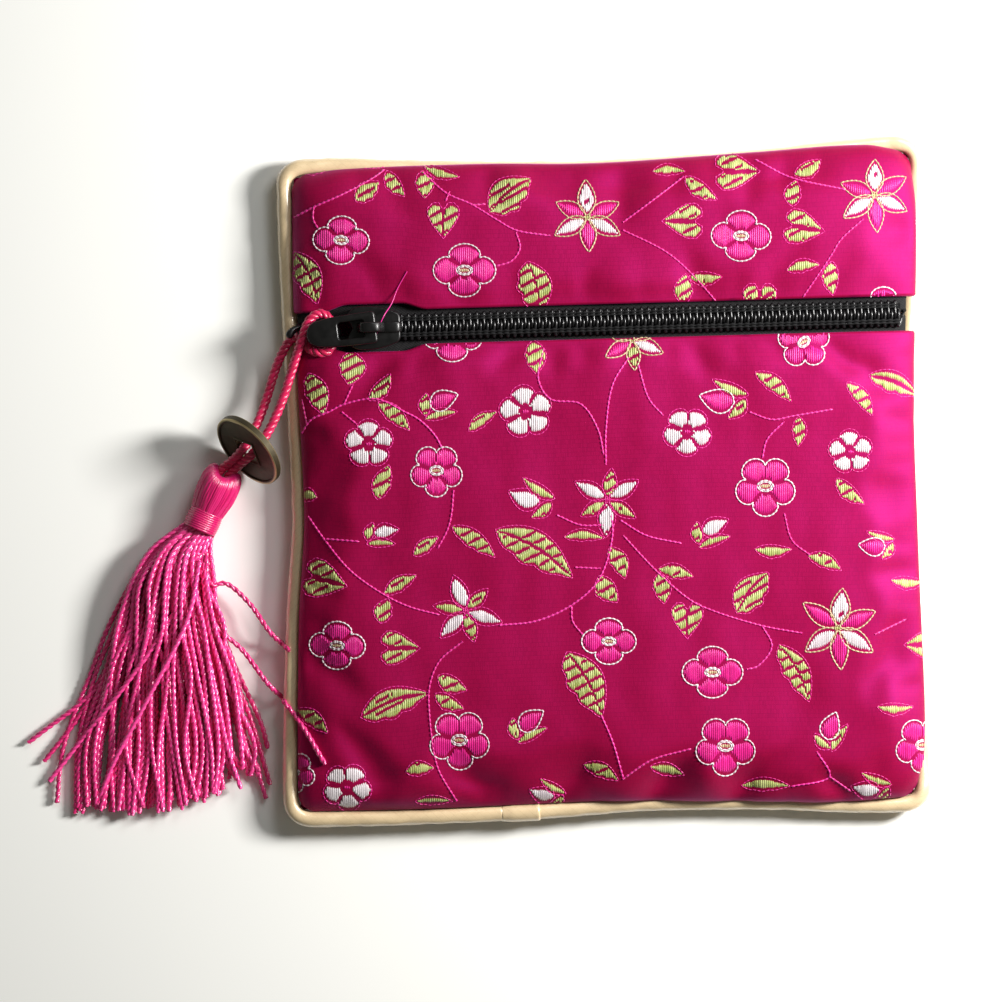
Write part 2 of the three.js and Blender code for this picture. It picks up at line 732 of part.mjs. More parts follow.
// A comb's two faces, its toothed edge and its straight back, which has a point at every second tooth
function combGeometry(inner, outer, hand) {
  const stride = 4;
  const kept = outer.filter((_, k) => k % stride === 0 || k === outer.length - 1);
  const count = inner.length + kept.length;
  const lower = [...inner, ...kept];
  const upper = lower.map((point) => point.clone().add(new THREE.Vector3(0, 0, COIL_THICKNESS)));
  const positions = [...lower, ...upper].flatMap((point) => point.toArray());
  const index = [];
  const add = (a, b, c) => (hand > 0 ? index.push(a, b, c) : index.push(a, c, b));
  const strip = (a, b, c) => {
    add(a + count, b + count, c + count);
    add(a, c, b);
  };
  for (let j = 0; j < kept.length - 1; j += 1) {
    const first = j * stride;
    const last = Math.min(first + stride, inner.length - 1);
    const middle = Math.ceil((first + last) / 2);
    const back = inner.length + j;
    for (let k = first; k < last; k += 1) {
      strip(k, k + 1, k < middle ? back : back + 1);
    }
    strip(middle, back + 1, back);
  }
  const wall = (a, b) => {
    add(a, b, b + count);
    add(a, b + count, a + count);
  };
  for (let k = 0; k < inner.length - 1; k += 1) {
    wall(k, k + 1);
  }
  wall(inner.length - 1, count - 1);
  for (let k = count - 1; k > inner.length; k -= 1) {
    wall(k, k - 1);
  }
  wall(inner.length, 0);
  return facets(positions, index);
}

function addCoils() {
  addPiece('zip_coil_upper', coilComb(1), nylon);
  addPiece('zip_coil_lower', coilComb(-1), nylon);
}

// The slider's own frame: X along the zip to its narrow end, Z up from the middle of the cloth
function sliderFrame() {
  const x = sliderX();
  const here = zipFrame(x);
  const ahead = zipFrame(x + SLIDER_LENGTH / 2);
  const behind = zipFrame(x - SLIDER_LENGTH / 2);
  const frame = new THREE.Group();
  const slope = Math.atan2(ahead.z - behind.z, ahead.x - behind.x);
  frame.rotation.set(0, -slope, ZIP_TILT, 'ZYX');
  frame.position.copy(here);
  return frame;
}

// Outline of the plates: wide shoulders at the open end, with a notch, and a narrow tail
function plateShape(inset = 0) {
  const half = SLIDER_LENGTH / 2 - inset;
  const wide = SLIDER_WIDE / 2 - inset;
  const narrow = SLIDER_NARROW / 2 - inset;
  const shape = new THREE.Shape();
  shape.moveTo(-half + 0.9, 0);
  shape.lineTo(-half, -WEDGE_WIDTH);
  shape.quadraticCurveTo(-half, -wide, -half * 0.36, -wide);
  shape.quadraticCurveTo(half * 0.3, -wide, half * 0.8, -narrow);
  shape.quadraticCurveTo(half, -narrow * 0.9, half, -narrow * 0.5);
  shape.lineTo(half, narrow * 0.5);
  shape.quadraticCurveTo(half, narrow * 0.9, half * 0.8, narrow);
  shape.quadraticCurveTo(half * 0.3, wide, -half * 0.36, wide);
  shape.quadraticCurveTo(-half, wide, -half, WEDGE_WIDTH);
  shape.closePath();
  return shape;
}

function extruded(shape, depth, z, curveSegments = 3) {
  const geometry = new THREE.ExtrudeGeometry(shape, { depth, bevelEnabled: false, curveSegments });
  return geometry.translate(0, 0, z);
}

function box(width, depth, height, x, y, z) {
  return new THREE.BoxGeometry(width, depth, height).translate(x, y, z + height / 2);
}

// Heights in the slider's frame, from the middle of the cloth
const tapeTop = -CLOTH_WALL / 2 - FIT_GAP;
const tapeUnder = tapeTop - TAPE_WALL;
const coilTop = tapeTop + COIL_GAP + COIL_THICKNESS;
const upperPlate = coilTop + FIT_GAP;
const lowerPlate = tapeUnder - FIT_GAP - PLATE_THICKNESS;
const plateTop = upperPlate + PLATE_THICKNESS;
const tabDip = Math.sin(TAB_TILT) * SLIDER_LENGTH / 2;
const tabUnder = plateTop + FIT_GAP + tabDip;
const archTop = tabUnder + TAB_THICKNESS + FIT_GAP;

function addSlider(frame) {
  const plate = extruded(plateShape(), PLATE_THICKNESS, upperPlate);
  const base = extruded(plateShape(), PLATE_THICKNESS, lowerPlate);
  const flangeBase = tapeTop + FIT_GAP;
  const skirt = solidOf(extruded(plateShape(), upperPlate - flangeBase + 0.2, flangeBase));
  const hollow = solidOf(extruded(plateShape(FLANGE_WIDTH), upperPlate - flangeBase + 0.6, flangeBase - 0.2));
  const ends = solidOf(box(SLIDER_LENGTH * 2, COIL_WIDTH + 2 * FIT_GAP, 4, 0, 0, flangeBase - 2));
  const flanges = geometryOf(skirt.subtract(hollow).subtract(ends));
  const wedge = new THREE.Shape();
  const half = SLIDER_LENGTH / 2;
  wedge.moveTo(-half + 1.2, -WEDGE_WIDTH / 2);
  wedge.lineTo(-half * 0.1, -WEDGE_WIDTH / 4);
  wedge.lineTo(-half * 0.1, WEDGE_WIDTH / 4);
  wedge.lineTo(-half + 1.2, WEDGE_WIDTH / 2);
  wedge.closePath();
  const post = extruded(wedge, plateTop - lowerPlate - PLATE_THICKNESS, lowerPlate + PLATE_THICKNESS / 2);
  const inside = TAB_BAR + 2 * FIT_GAP;
  const legHeight = archTop - plateTop + 0.2;
  const leg = (x) => box(BRIDGE_WALL, BRIDGE_WIDTH, legHeight, BRIDGE_FROM_MIDDLE + x, 0, plateTop - 0.2);
  const roof = box(inside + 2 * BRIDGE_WALL, BRIDGE_WIDTH, BRIDGE_WALL, BRIDGE_FROM_MIDDLE, 0, archTop);
  const foot = (inside + BRIDGE_WALL) / 2;
  const body = joined([plate, base, flanges, post, leg(-foot), leg(foot), roof]);
  addPiece('slider', body, blackPaint, frame);
}

// The pull tab lies along the zip with its bar in the bridge, and its tip leans to the left
function addPuller(frame) {
  const tab = new THREE.Shape();
  const bar = TAB_BAR / 2;
  const tip = TAB_TIP_WIDTH / 2;
  const wide = TAB_WIDTH / 2;
  const end = bar - TAB_LENGTH;
  tab.moveTo(bar, -wide * 0.8);
  tab.lineTo(bar, wide * 0.8);
  tab.quadraticCurveTo(bar, wide, bar - 0.6, wide);
  tab.lineTo(bar - TAB_LENGTH * 0.5, wide);
  tab.lineTo(end + tip, tip);
  tab.absarc(end + tip, 0, tip, Math.PI / 2, Math.PI * 1.5, false);
  tab.lineTo(bar - TAB_LENGTH * 0.5, -wide);
  tab.lineTo(bar - 0.6, -wide);
  tab.quadraticCurveTo(bar, -wide, bar, -wide * 0.8);
  const opening = new THREE.Path();
  const right = -bar;
  const left = right - WINDOW_LENGTH;
  opening.moveTo(right, -WINDOW_WIDTH / 2);
  opening.lineTo(left, -WINDOW_WIDTH / 2);
  opening.lineTo(left, WINDOW_WIDTH / 2);
  opening.lineTo(right, WINDOW_WIDTH / 2);
  opening.closePath();
  tab.holes.push(opening);
  const plate = extruded(tab, TAB_THICKNESS, 0, 4);
  const clear = CORD_DIAMETER + FIT_GAP;
  const eyeX = eyeAlongTab();
  const drop = clear + EYE_WIRE;
  const side = (x) => box(EYE_WIRE, EYE_WIDTH, drop + 0.2, x, 0, -drop);
  const reach = (clear + EYE_WIRE) / 2;
  const sill = box(clear + 2 * EYE_WIRE, EYE_WIDTH, EYE_WIRE, eyeX, 0, -drop);
  const body = joined([plate, side(eyeX - reach), side(eyeX + reach), sill]);
  const hinge = new THREE.Group();
  hinge.position.set(BRIDGE_FROM_MIDDLE, 0, tabUnder);
  hinge.rotation.set(0, -TAB_TILT, TAB_YAW, 'ZYX');
  frame.add(hinge);
  addPiece('puller', body, blackPaint, hinge);
  return hinge;
}

// Middle of the eye along the tab, under its solid tip
function eyeAlongTab() {
  return TAB_BAR / 2 - TAB_LENGTH + TAB_TIP_WIDTH * 0.9;
}

// The zip's melted end rises from the tapes and hooks out over the piping
function addZipTail() {
  const seam = frontPoint(0, crossingV(0, 0));
  const radius = TAIL_DIAMETER / 2;
  const rows = [
    { out: -1.2, up: 0.6, lift: 1.8 },
    { out: -0.3, up: 0.5, lift: 2.9 },
    { out: 0.7, up: 0.1, lift: 3.5 },
    { out: 1.4, up: -0.6, lift: 3.65 },
    { out: 1.6, up: -1.4, lift: 3.6 },
  ];
  const path = rows.map((row) => new THREE.Vector3(seam.x - row.out, seam.y + row.up, seam.z + row.lift));
  const even = path.map((_, k) => (k === path.length - 1 ? radius * 0.6 : radius));
  addPiece('zip_tail', tubeThrough(ringsAlong(path, even, even, 8)), nylon);
}

const zipHead = sliderFrame();
pouch.add(zipHead);
addPanels();
addPiping();
addTapes();
addCoils();
addSlider(zipHead);
const tabHinge = addPuller(zipHead);
addZipTail();

// Where the cord passes under the tab
pouch.updateMatrixWorld(true);
const eye = tabHinge.localToWorld(new THREE.Vector3(eyeAlongTab(), 0, 0));

function addCord() {
  const points = CORD_ROUTE.map(([across, up, height]) => {
    return new THREE.Vector3(eye.x + across, eye.y + up, height);
  });
  const section = new THREE.Shape().absarc(0, 0, CORD_DIAMETER / 2, 0, Math.PI * 2, false);
  const geometry = new THREE.ExtrudeGeometry(section, {
    steps: CORD_STEPS,
    curveSegments: 4,
    extrudePath: new THREE.CatmullRomCurve3(points, false, 'centripetal'),
  });
  addPiece('cord', geometry, silkCord);
}

// The coin leans on its lowest rim with the cord through its square hole
function addCoin() {
  const radius = COIN_DIAMETER / 2;
  const disc = (outer, inner, depth, z) => {
    const shape = new THREE.Shape().absarc(0, 0, outer, 0, Math.PI * 2, false);
    shape.holes.push(new THREE.Path().absarc(0, 0, inner, 0, Math.PI * 2, true));
    return extruded(shape, depth, z, 16);
  };
  const square = (half) => {
    const shape = new THREE.Shape();
    shape.moveTo(-half, -half);
    shape.lineTo(half, -half);
    shape.lineTo(half, half);
    shape.lineTo(-half, half);
    shape.closePath();
    return shape;
  };
  const full = COIN_THICKNESS + 2 * COIN_RELIEF;
  const plate = new THREE.Shape().absarc(0, 0, radius - COIN_RIM / 2, 0, Math.PI * 2, false);
  const face = solidOf(extruded(plate, COIN_THICKNESS, -COIN_THICKNESS / 2, 16));
  const rim = solidOf(disc(radius, radius - COIN_RIM, full, -full / 2));
  const collar = solidOf(extruded(square(COIN_HOLE / 2 + COIN_RIM * 0.6), full, -full / 2));
  const hole = solidOf(extruded(square(COIN_HOLE / 2), full * 2, -full));
  const mesh = addPiece('coin', geometryOf(face.add(rim).add(collar).subtract(hole)), agedBrass);
  mesh.quaternion.setFromUnitVectors(UP, COIN_FACING);
  const lean = Math.sqrt(1 - COIN_FACING.z ** 2);
  const height = radius * lean + full / 2 * COIN_FACING.z + FIT_GAP / 10;
  mesh.position.set(eye.x + COIN_PLACE.across, eye.y + COIN_PLACE.up, height);
}

// A round piece about the tassel's line, from rows of distance below the head's top and radius
function turned(rows, sides) {
  const profile = rows.map(([below, radius]) => new THREE.Vector2(radius, -below)).reverse();
  const closing = profile[0].x > 0 ? [profile[0].clone()] : [];
  const geometry = new THREE.LatheGeometry([...profile, ...closing], sides);
  const turn = new THREE.Quaternion().setFromUnitVectors(new THREE.Vector3(0, 1, 0), HEAD_AXIS);
  geometry.applyQuaternion(turn);
  const top = headTop();
  return geometry.translate(top.x, top.y, top.z);
}

function headTop() {
  const lift = HEAD_DIAMETER / 2 + FIT_GAP / 10;
  return new THREE.Vector3(eye.x + HEAD_PLACE.across, eye.y + HEAD_PLACE.up, lift);
}

function neckRadius() {
  return BINDING_DIAMETER / 2 - BINDING_WALL - FIT_GAP;
}

// The head folds over the cord's end, is bound below, and spreads into locks that lie on the table
function addTassel() {
  const wide = HEAD_DIAMETER / 2;
  const socket = CORD_DIAMETER + FIT_GAP;
  const neck = neckRadius();
  const head = turned([
    [SOCKET_DEPTH, 0],
    [SOCKET_DEPTH, socket],
    [0.4, socket],
    [0, socket + 0.4],
    [0.5, wide * 0.85],
    [HEAD_LENGTH * 0.3, wide],
    [HEAD_LENGTH * 0.62, wide * 0.97],
    [HEAD_LENGTH * 0.9, wide * 0.84],
    [HEAD_LENGTH, neck],
    [HEAD_LENGTH + BINDING_LENGTH + FIT_GAP * 6, neck],
    [HEAD_LENGTH + BINDING_LENGTH + FIT_GAP * 6, 0],
  ], 16);
  const solids = [head, ...LOCKS.map(lockGeometry)];
  addPiece('tassel', joined(solids), tasselSilk);
}

function lockGeometry(lock) {
  const fromTop = HEAD_LENGTH + BINDING_LENGTH + 3 * FIT_GAP;
  const start = headTop().addScaledVector(HEAD_AXIS, -fromTop);
  const angle = THREE.MathUtils.degToRad(lock.turn);
  const run = HEAD_AXIS.clone().negate().applyAxisAngle(UP, angle);
  const aside = UP.clone().cross(run);
  const acrossNeck = HEAD_AXIS.clone().cross(UP);
  const middle = (LOCKS[0].turn + LAST_BOTTOM_TURN) / 2;
  const shift = (lock.turn - middle) / (LAST_BOTTOM_TURN - middle) * neckRadius() * 0.8;
  const startLift = (lock.layer * 0.8 - 0.35) * LOCK_HEIGHT;
  const floorLevel = LOCK_HEIGHT / 2 + FIT_GAP / 10 + lock.layer * LOCK_HEIGHT * 0.72;
  const sections = [
    { along: 0, width: 0.42, height: 0.95, sink: 0 },
    { along: 0.1, width: 0.56, height: 1.05, sink: 0.1 },
    { along: 0.28, width: 0.8, height: 1, sink: 0.5 },
    { along: 0.5, width: 0.95, height: 1, sink: 0.85 },
    { along: 0.78, width: 1, height: 0.9, sink: 1 },
    { along: 1, width: 0.92, height: 0.7, sink: 1 },
  ];
  const path = sections.map((row) => {
    const straight = HEAD_AXIS.clone().negate().lerp(run, Math.min(1, 0.6 + row.along)).normalize();
    const along = row.along * lock.reach * SKIRT_LENGTH;
    const bend = Math.sin(Math.PI * row.along) * lock.bow * SKIRT_LENGTH;
    const point = start.clone().addScaledVector(straight, along).addScaledVector(aside, bend);
    point.addScaledVector(acrossNeck, shift * (1 - row.along));
    point.z = THREE.MathUtils.lerp(start.z + startLift, floorLevel, row.sink);
    return point;
  });
  const widths = sections.map((row) => row.width * LOCK_WIDTH / 2);
  const heights = sections.map((row) => row.height * LOCK_HEIGHT / 2);
  return tubeThrough(ringsAlong(path, widths, heights, 6));
}

// Thread wound in a few turns round the neck
function addBinding() {
  const outer = BINDING_DIAMETER / 2;
  const inner = outer - BINDING_WALL;
  const from = HEAD_LENGTH + FIT_GAP;
  const to = from + BINDING_LENGTH;
  const turns = 4;
  const rows = [[from, inner]];
  for (let k = 0; k < turns; k += 1) {
    const step = (to - from) / turns;
    rows.push([from + k * step, outer - 0.15]);
    rows.push([from + (k + 0.5) * step, outer]);
  }
  rows.push([to, outer - 0.15]);
  rows.push([to, inner]);
  addPiece('tassel_binding', turned(rows, 14), tasselSilk);
}

addCord();
addCoin();
addTassel();
addBinding();

// The origin is under the middle of the pouch itself, without the cord and what hangs on it
const body = new THREE.Box3();
pouch.updateMatrixWorld(true);
pouch.traverse((piece) => {
  if (piece.isMesh && !['cord', 'coin', 'tassel', 'tassel_binding'].includes(piece.name)) {
    body.expandByObject(piece, true);
  }
});
const middle = body.getCenter(new THREE.Vector3());
pouch.position.set(-middle.x, -middle.y, -body.min.z);

export default pouch;
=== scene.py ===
import math
import random

import bmesh
import bpy
import numpy as np
from mathutils import Matrix, Vector, noise
from mathutils.bvhtree import BVHTree


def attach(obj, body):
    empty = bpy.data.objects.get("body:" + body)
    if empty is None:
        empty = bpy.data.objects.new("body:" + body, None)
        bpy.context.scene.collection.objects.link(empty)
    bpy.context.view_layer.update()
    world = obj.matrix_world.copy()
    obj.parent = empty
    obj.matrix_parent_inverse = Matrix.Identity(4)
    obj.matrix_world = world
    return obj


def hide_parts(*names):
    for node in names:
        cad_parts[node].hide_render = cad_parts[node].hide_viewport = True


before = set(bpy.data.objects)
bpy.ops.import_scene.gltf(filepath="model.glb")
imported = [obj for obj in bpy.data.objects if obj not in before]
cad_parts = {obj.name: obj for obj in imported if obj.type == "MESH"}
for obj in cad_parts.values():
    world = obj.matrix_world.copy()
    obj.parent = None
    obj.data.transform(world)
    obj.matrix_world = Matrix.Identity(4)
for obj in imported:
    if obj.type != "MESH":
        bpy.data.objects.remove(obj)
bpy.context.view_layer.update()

# ---- Camera
# It looks straight down on the pouch from high above the table, as in the photograph. The lens takes
# in the photograph's width at the height of the piping. Lengths here are in millimetres, and MM turns
# them into metres.
MM = 0.001
LOOK_AT = (-18.1, -3.5)
CAMERA_HEIGHT = 800
VIEW_WIDTH = 176.35
VIEW_LEVEL = 3.5

bpy.context.scene.view_settings.view_transform = "Standard"
lens = bpy.data.cameras.new("camera")
lens.sensor_width = 36
lens.lens = lens.sensor_width * (CAMERA_HEIGHT - VIEW_LEVEL) / VIEW_WIDTH
camera = bpy.data.objects.new("camera", lens)
camera.location = (LOOK_AT[0] * MM, LOOK_AT[1] * MM, CAMERA_HEIGHT * MM)
bpy.context.scene.collection.objects.link(camera)
bpy.context.scene.camera = camera

# ---- Cord
# A limp silk cord of three plies, laid up hard. It comes out of the tassel's head, passes through the
# coin, hitches round the zip's pull and goes back the same way into the head.
EYE = (-47.51, 25.97)
CORD_DIAMETER = 1.7
CORD_LAY = 3.4
PLY_RADIUS = 0.47
PLY_LEAN = 0.4
# Route from the pull's eye, across and up, with height from the table
CORD_ROUTE = [
    (-23.1, -33.6, 3.7), (-21.2, -30.2, 3.7), (-19.3, -26.9, 3.7), (-18.4, -24.9, 3.8),
    (-16.5, -23.1, 5.0), (-14.2, -21.2, 6.6),
    (-12.4, -19.0, 6.9), (-10.6, -15.8, 6.4), (-8.8, -11.4, 6.0), (-7.4, -7.0, 6.2),
    (-6.2, -3.3, 7.3), (-5.5, -1.3, 8.4), (-5.1, -0.2, 8.7), (-4.5, 1.4, 8.6), (-3.7, 2.6, 8.5),
    (-2.5, 3.3, 8.4), (-1.2, 3.0, 8.35), (-0.3, 1.8, 8.3), (0.0, 0.0, 8.3), (0.0, -1.8, 8.3),
    (-0.7, -3.1, 8.3), (-2.2, -3.5, 8.25), (-3.5, -3.2, 7.9), (-4.6, -2.3, 7.3),
    (-5.5, -1.2, 6.5), (-6.5, -0.7, 5.9), (-7.7, -1.4, 5.6), (-8.8, -3.1, 5.3),
    (-10.2, -6.2, 4.3), (-11.8, -11.4, 3.9), (-13.4, -15.9, 5.2), (-15.4, -19.8, 6.6),
    (-17.6, -22.2, 5.2), (-20.0, -24.2, 3.8), (-20.9, -26.2, 3.7),
]


def smooth_line(points, pitch):
    """Points at an even pitch along a smooth curve through the given ones."""
    p = np.asarray(points, float)
    p = np.vstack([2 * p[0] - p[1], p, 2 * p[-1] - p[-2]])
    fine = []
    for a, b, c, d in zip(p, p[1:], p[2:], p[3:]):
        t1 = np.linalg.norm(b - a) ** 0.5
        t2 = t1 + np.linalg.norm(c - b) ** 0.5
        t3 = t2 + np.linalg.norm(d - c) ** 0.5
        t = np.linspace(t1, t2, 24, endpoint=False)[:, None]
        ab = ((t1 - t) * a + t * b) / t1
        bc = ((t2 - t) * b + (t - t1) * c) / (t2 - t1)
        cd = ((t3 - t) * c + (t - t2) * d) / (t3 - t2)
        abc = ((t2 - t) * ab + t * bc) / t2
        bcd = ((t3 - t) * bc + (t - t1) * cd) / (t3 - t1)
        fine.append(((t2 - t) * abc + (t - t1) * bcd) / (t2 - t1))
    fine = np.vstack([*fine, p[-2:-1]])
    run = run_along(fine)
    steps = np.linspace(0, run[-1], max(2, round(run[-1] / pitch) + 1))
    return np.column_stack([np.interp(steps, run, fine[:, k]) for k in range(p.shape[1])])


def run_along(line):
    """Distance along a line at each of its points."""
    return np.concatenate([[0], np.cumsum(np.linalg.norm(np.diff(line, axis=0), axis=1))])


def frames_along(line):
    """Directions beside and over a line, which don't spin about it."""
    ahead = np.gradient(line, axis=0)
    ahead /= np.linalg.norm(ahead, axis=1)[:, None]
    side = np.cross(ahead[0], (0.12, 0.05, 1.0))
    sides = []
    for a in ahead:
        side = side - a * side.dot(a)
        side = side / np.linalg.norm(side)
        sides.append(side)
    sides = np.array(sides)
    return sides, np.cross(ahead, sides)


def laid_plies(line, plies, lean, lay, turn=0.0):
    """Lines of plies laid up round a line, a distance lean from it, with one turn in each lay."""
    run = run_along(line)
    side, over = frames_along(line)
    found = []
    for k in range(plies):
        angle = (turn + 2 * math.pi * (run / lay + k / plies))[:, None]
        found.append(line + lean * (np.cos(angle) * side + np.sin(angle) * over))
    return found


def thread_tree():
    """Geometry nodes that turn lines into round threads, thicker and thinner by each point's swell."""
    tree = bpy.data.node_groups.new("Threads along lines", "GeometryNodeTree")
    face = tree.interface
    face.new_socket("Lines", in_out="INPUT", socket_type="NodeSocketGeometry")
    face.new_socket("Thread Radius", in_out="INPUT", socket_type="NodeSocketFloat")
    face.new_socket("Thread Sides", in_out="INPUT", socket_type="NodeSocketInt")
    face.new_socket("Thread Finish", in_out="INPUT", socket_type="NodeSocketMaterial")
    face.new_socket("Threads", in_out="OUTPUT", socket_type="NodeSocketGeometry")
    add = tree.nodes.new
    given, made = add("NodeGroupInput"), add("NodeGroupOutput")
    swell = add("GeometryNodeInputNamedAttribute")
    swell.data_type = "FLOAT"
    swell.inputs["Name"].default_value = "swell"
    curve, section = add("GeometryNodeMeshToCurve"), add("GeometryNodeCurvePrimitiveCircle")
    tube, smooth = add("GeometryNodeCurveToMesh"), add("GeometryNodeSetShadeSmooth")
    real, painted = add("GeometryNodeRealizeInstances"), add("GeometryNodeSetMaterial")
    tube.inputs["Fill Caps"].default_value = True
    link = tree.links.new
    link(given.outputs["Lines"], curve.inputs["Mesh"])
    link(given.outputs["Thread Sides"], section.inputs["Resolution"])
    link(given.outputs["Thread Radius"], section.inputs["Radius"])
    link(curve.outputs["Curve"], tube.inputs["Curve"])
    link(section.outputs["Curve"], tube.inputs["Profile Curve"])
    link(swell.outputs["Attribute"], tube.inputs["Scale"])
    link(tube.outputs["Mesh"], smooth.inputs["Geometry"])
    link(smooth.outputs["Geometry"], real.inputs["Geometry"])
    link(real.outputs["Geometry"], painted.inputs["Geometry"])
    link(given.outputs["Thread Finish"], painted.inputs["Material"])
    link(painted.outputs["Geometry"], made.inputs["Threads"])
    return tree


THREADS = thread_tree()


def lay_threads(name, lines, radius, sides, finish):
    """One mesh of threads along lines, each given as its points, their swell and the thread's shade."""
    counts = [len(points) for points, _, _ in lines]
    starts = np.concatenate([[0], np.cumsum(counts)])
    edges = np.vstack([np.column_stack([np.arange(s, s + c - 1), np.arange(s + 1, s + c)])
                       for s, c in zip(starts, counts)])
    mesh = bpy.data.meshes.new(name)
    mesh.from_pydata((np.vstack([points for points, _, _ in lines]) * MM).tolist(), edges.tolist(), [])
    for key, row in (("swell", 1), ("shade", 2)):
        values = np.concatenate([np.broadcast_to(line[row], count) for line, count in zip(lines, counts)])
        mesh.attributes.new(key, "FLOAT", "POINT").data.foreach_set("value", values.astype(np.float32))
    threads = bpy.data.objects.new(name, mesh)
    bpy.context.scene.collection.objects.link(threads)
    laid = threads.modifiers.new("threads", "NODES")
    laid.node_group = THREADS
    given = {s.name: s.identifier for s in THREADS.interface.items_tree if s.in_out == "INPUT"}
    laid[given["Thread Radius"]] = radius * MM
    laid[given["Thread Sides"]] = sides
    laid[given["Thread Finish"]] = finish
    graph = bpy.context.evaluated_depsgraph_get()
    made = bpy.data.meshes.new_from_object(threads.evaluated_get(graph), preserve_all_data_layers=True,
                                           depsgraph=graph)
    threads.modifiers.clear()
    threads.data = made
    made.name = name
    return threads


def add_node(tree, kind, settings=None, **values):
    """A node with its settings, and its sockets given values or links by name."""
    made = tree.nodes.new(kind)
    for key, value in (settings or {}).items():
        setattr(made, key, value)
    for key, value in values.items():
        socket = made.inputs[key.replace("_", " ")]
        if isinstance(value, bpy.types.NodeSocket):
            tree.links.new(value, socket)
        else:
            socket.default_value = value
    return made


def new_finish(name, **constants):
    """A material and its shader, with the shader's own constants set on it."""
    finish = bpy.data.materials.new(name)
    finish.use_nodes = True
    shader = finish.node_tree.nodes["Principled BSDF"]
    for key, value in constants.items():
        shader.inputs[key.replace("_", " ")].default_value = value
    return finish, finish.node_tree, shader


def spun_silk_group():
    """Silk thread: each thread's shade between two colours, mottled, and fine fibres along it; on the tassel's strands
    that shade is partly painted shade.
    """
    group = bpy.data.node_groups.new("Spun silk", "ShaderNodeTree")
    face = group.interface
    for name, kind in (("Dark", "Color"), ("Light", "Color"), ("Mottle", "Float"), ("Fibre Scale", "Float")):
        face.new_socket(name, in_out="INPUT", socket_type="NodeSocket" + kind)
    face.new_socket("Color", in_out="OUTPUT", socket_type="NodeSocketColor")
    face.new_socket("Height", in_out="OUTPUT", socket_type="NodeSocketFloat")
    given, made = group.nodes.new("NodeGroupInput"), group.nodes.new("NodeGroupOutput")
    shade = add_node(group, "ShaderNodeAttribute", {"attribute_name": "shade"})
    place = add_node(group, "ShaderNodeTexCoord")
    fibre = add_node(group, "ShaderNodeTexNoise", Vector=place.outputs["Object"],
                     Scale=given.outputs["Fibre Scale"], Detail=3.0, Roughness=0.65)
    swing = add_node(group, "ShaderNodeMath", {"operation": "SUBTRACT"})
    group.links.new(fibre.outputs["Fac"], swing.inputs[0])
    swing.inputs[1].default_value = 0.5
    share = add_node(group, "ShaderNodeMath", {"operation": "MULTIPLY_ADD", "use_clamp": True})
    group.links.new(swing.outputs[0], share.inputs[0])
    group.links.new(given.outputs["Mottle"], share.inputs[1])
    group.links.new(shade.outputs["Fac"], share.inputs[2])
    colour = add_node(group, "ShaderNodeMix", {"data_type": "RGBA"})
    group.links.new(share.outputs[0], colour.inputs[0])
    group.links.new(given.outputs["Dark"], colour.inputs[6])
    group.links.new(given.outputs["Light"], colour.inputs[7])
    group.links.new(colour.outputs[2], made.inputs["Color"])
    group.links.new(fibre.outputs["Fac"], made.inputs["Height"])
    return group


SPUN_SILK = spun_silk_group()


def silk_thread(name, dark, light, mottle=0.6, fibre_scale=9000.0, bump=0.00004, **constants):
    """A silk thread's material in two shades of one colour."""
    finish, tree, shader = new_finish(name, **constants)
    silk = add_node(tree, "ShaderNodeGroup", {"node_tree": SPUN_SILK}, Dark=(*dark, 1), Light=(*light, 1),
                    Mottle=mottle, Fibre_Scale=fibre_scale)
    raised = add_node(tree, "ShaderNodeBump", Height=silk.outputs["Height"], Distance=bump, Strength=0.6)
    tree.links.new(silk.outputs["Color"], shader.inputs["Base Color"])
    tree.links.new(raised.outputs["Normal"], shader.inputs["Normal"])
    return finish


cord_silk = silk_thread("cord silk", (0.36, 0.002, 0.030), (0.82, 0.016, 0.13), Roughness=0.28,
                        Specular_IOR_Level=0.7, Sheen_Weight=0.25, Sheen_Tint=(1, 0.45, 0.7, 1))
cord_line = smooth_line([(EYE[0] + x, EYE[1] + y, z) for x, y, z in CORD_ROUTE], 0.45)
plies = []
for number, ply in enumerate(laid_plies(cord_line, 3, PLY_LEAN, CORD_LAY)):
    plies.append((ply, 1.0, (0.35, 0.5, 0.62)[number]))
cord = lay_threads("cord_loop", plies, PLY_RADIUS, 10, cord_silk)
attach(cord, "root")
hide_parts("cord")

# ---- Brocade panels
# Satin brocade over thin wadding: two front panels that stop at the zip, and a whole back. Each is a
# wall of cloth made from the seams inwards, and the fronts are puckered a little where they are sewn.
WIDTH, HEIGHT = 114.6, 118.4
CLOTH_WALL = 1.2
EDGE_RISE, EDGE_RUN = 2.8, 1.6
CROWN_RISE, CROWN_RUN = 1.6, 12
BACK_RUN = 14
ROLL_OUT, ROLL_RUN = 2.2, 1.0
PIPING_DIAMETER, PIPING_LIFT, PIPING_DROP = 2.8, 1.6, 0.8
SEAM_CLEARANCE = 0.6
FIT_GAP = 0.3
ZIP_BELOW_TOP = 28.7
ZIP_TILT = math.radians(1.6)
ZIP_HALF_OPENING = 3.0
SLIDER_LENGTH, SLIDER_WIDE, SLIDER_FROM_LEFT = 9.3, 7.7, 16.2
CORNERS = [(-0.493, -0.516), (0.505, -0.492), (0.495, 0.516), (-0.505, 0.477)]
CORNER_RADII = [5.6, 5.6, 6.0, 5.2]
CLOTH_CORNER = 2.4
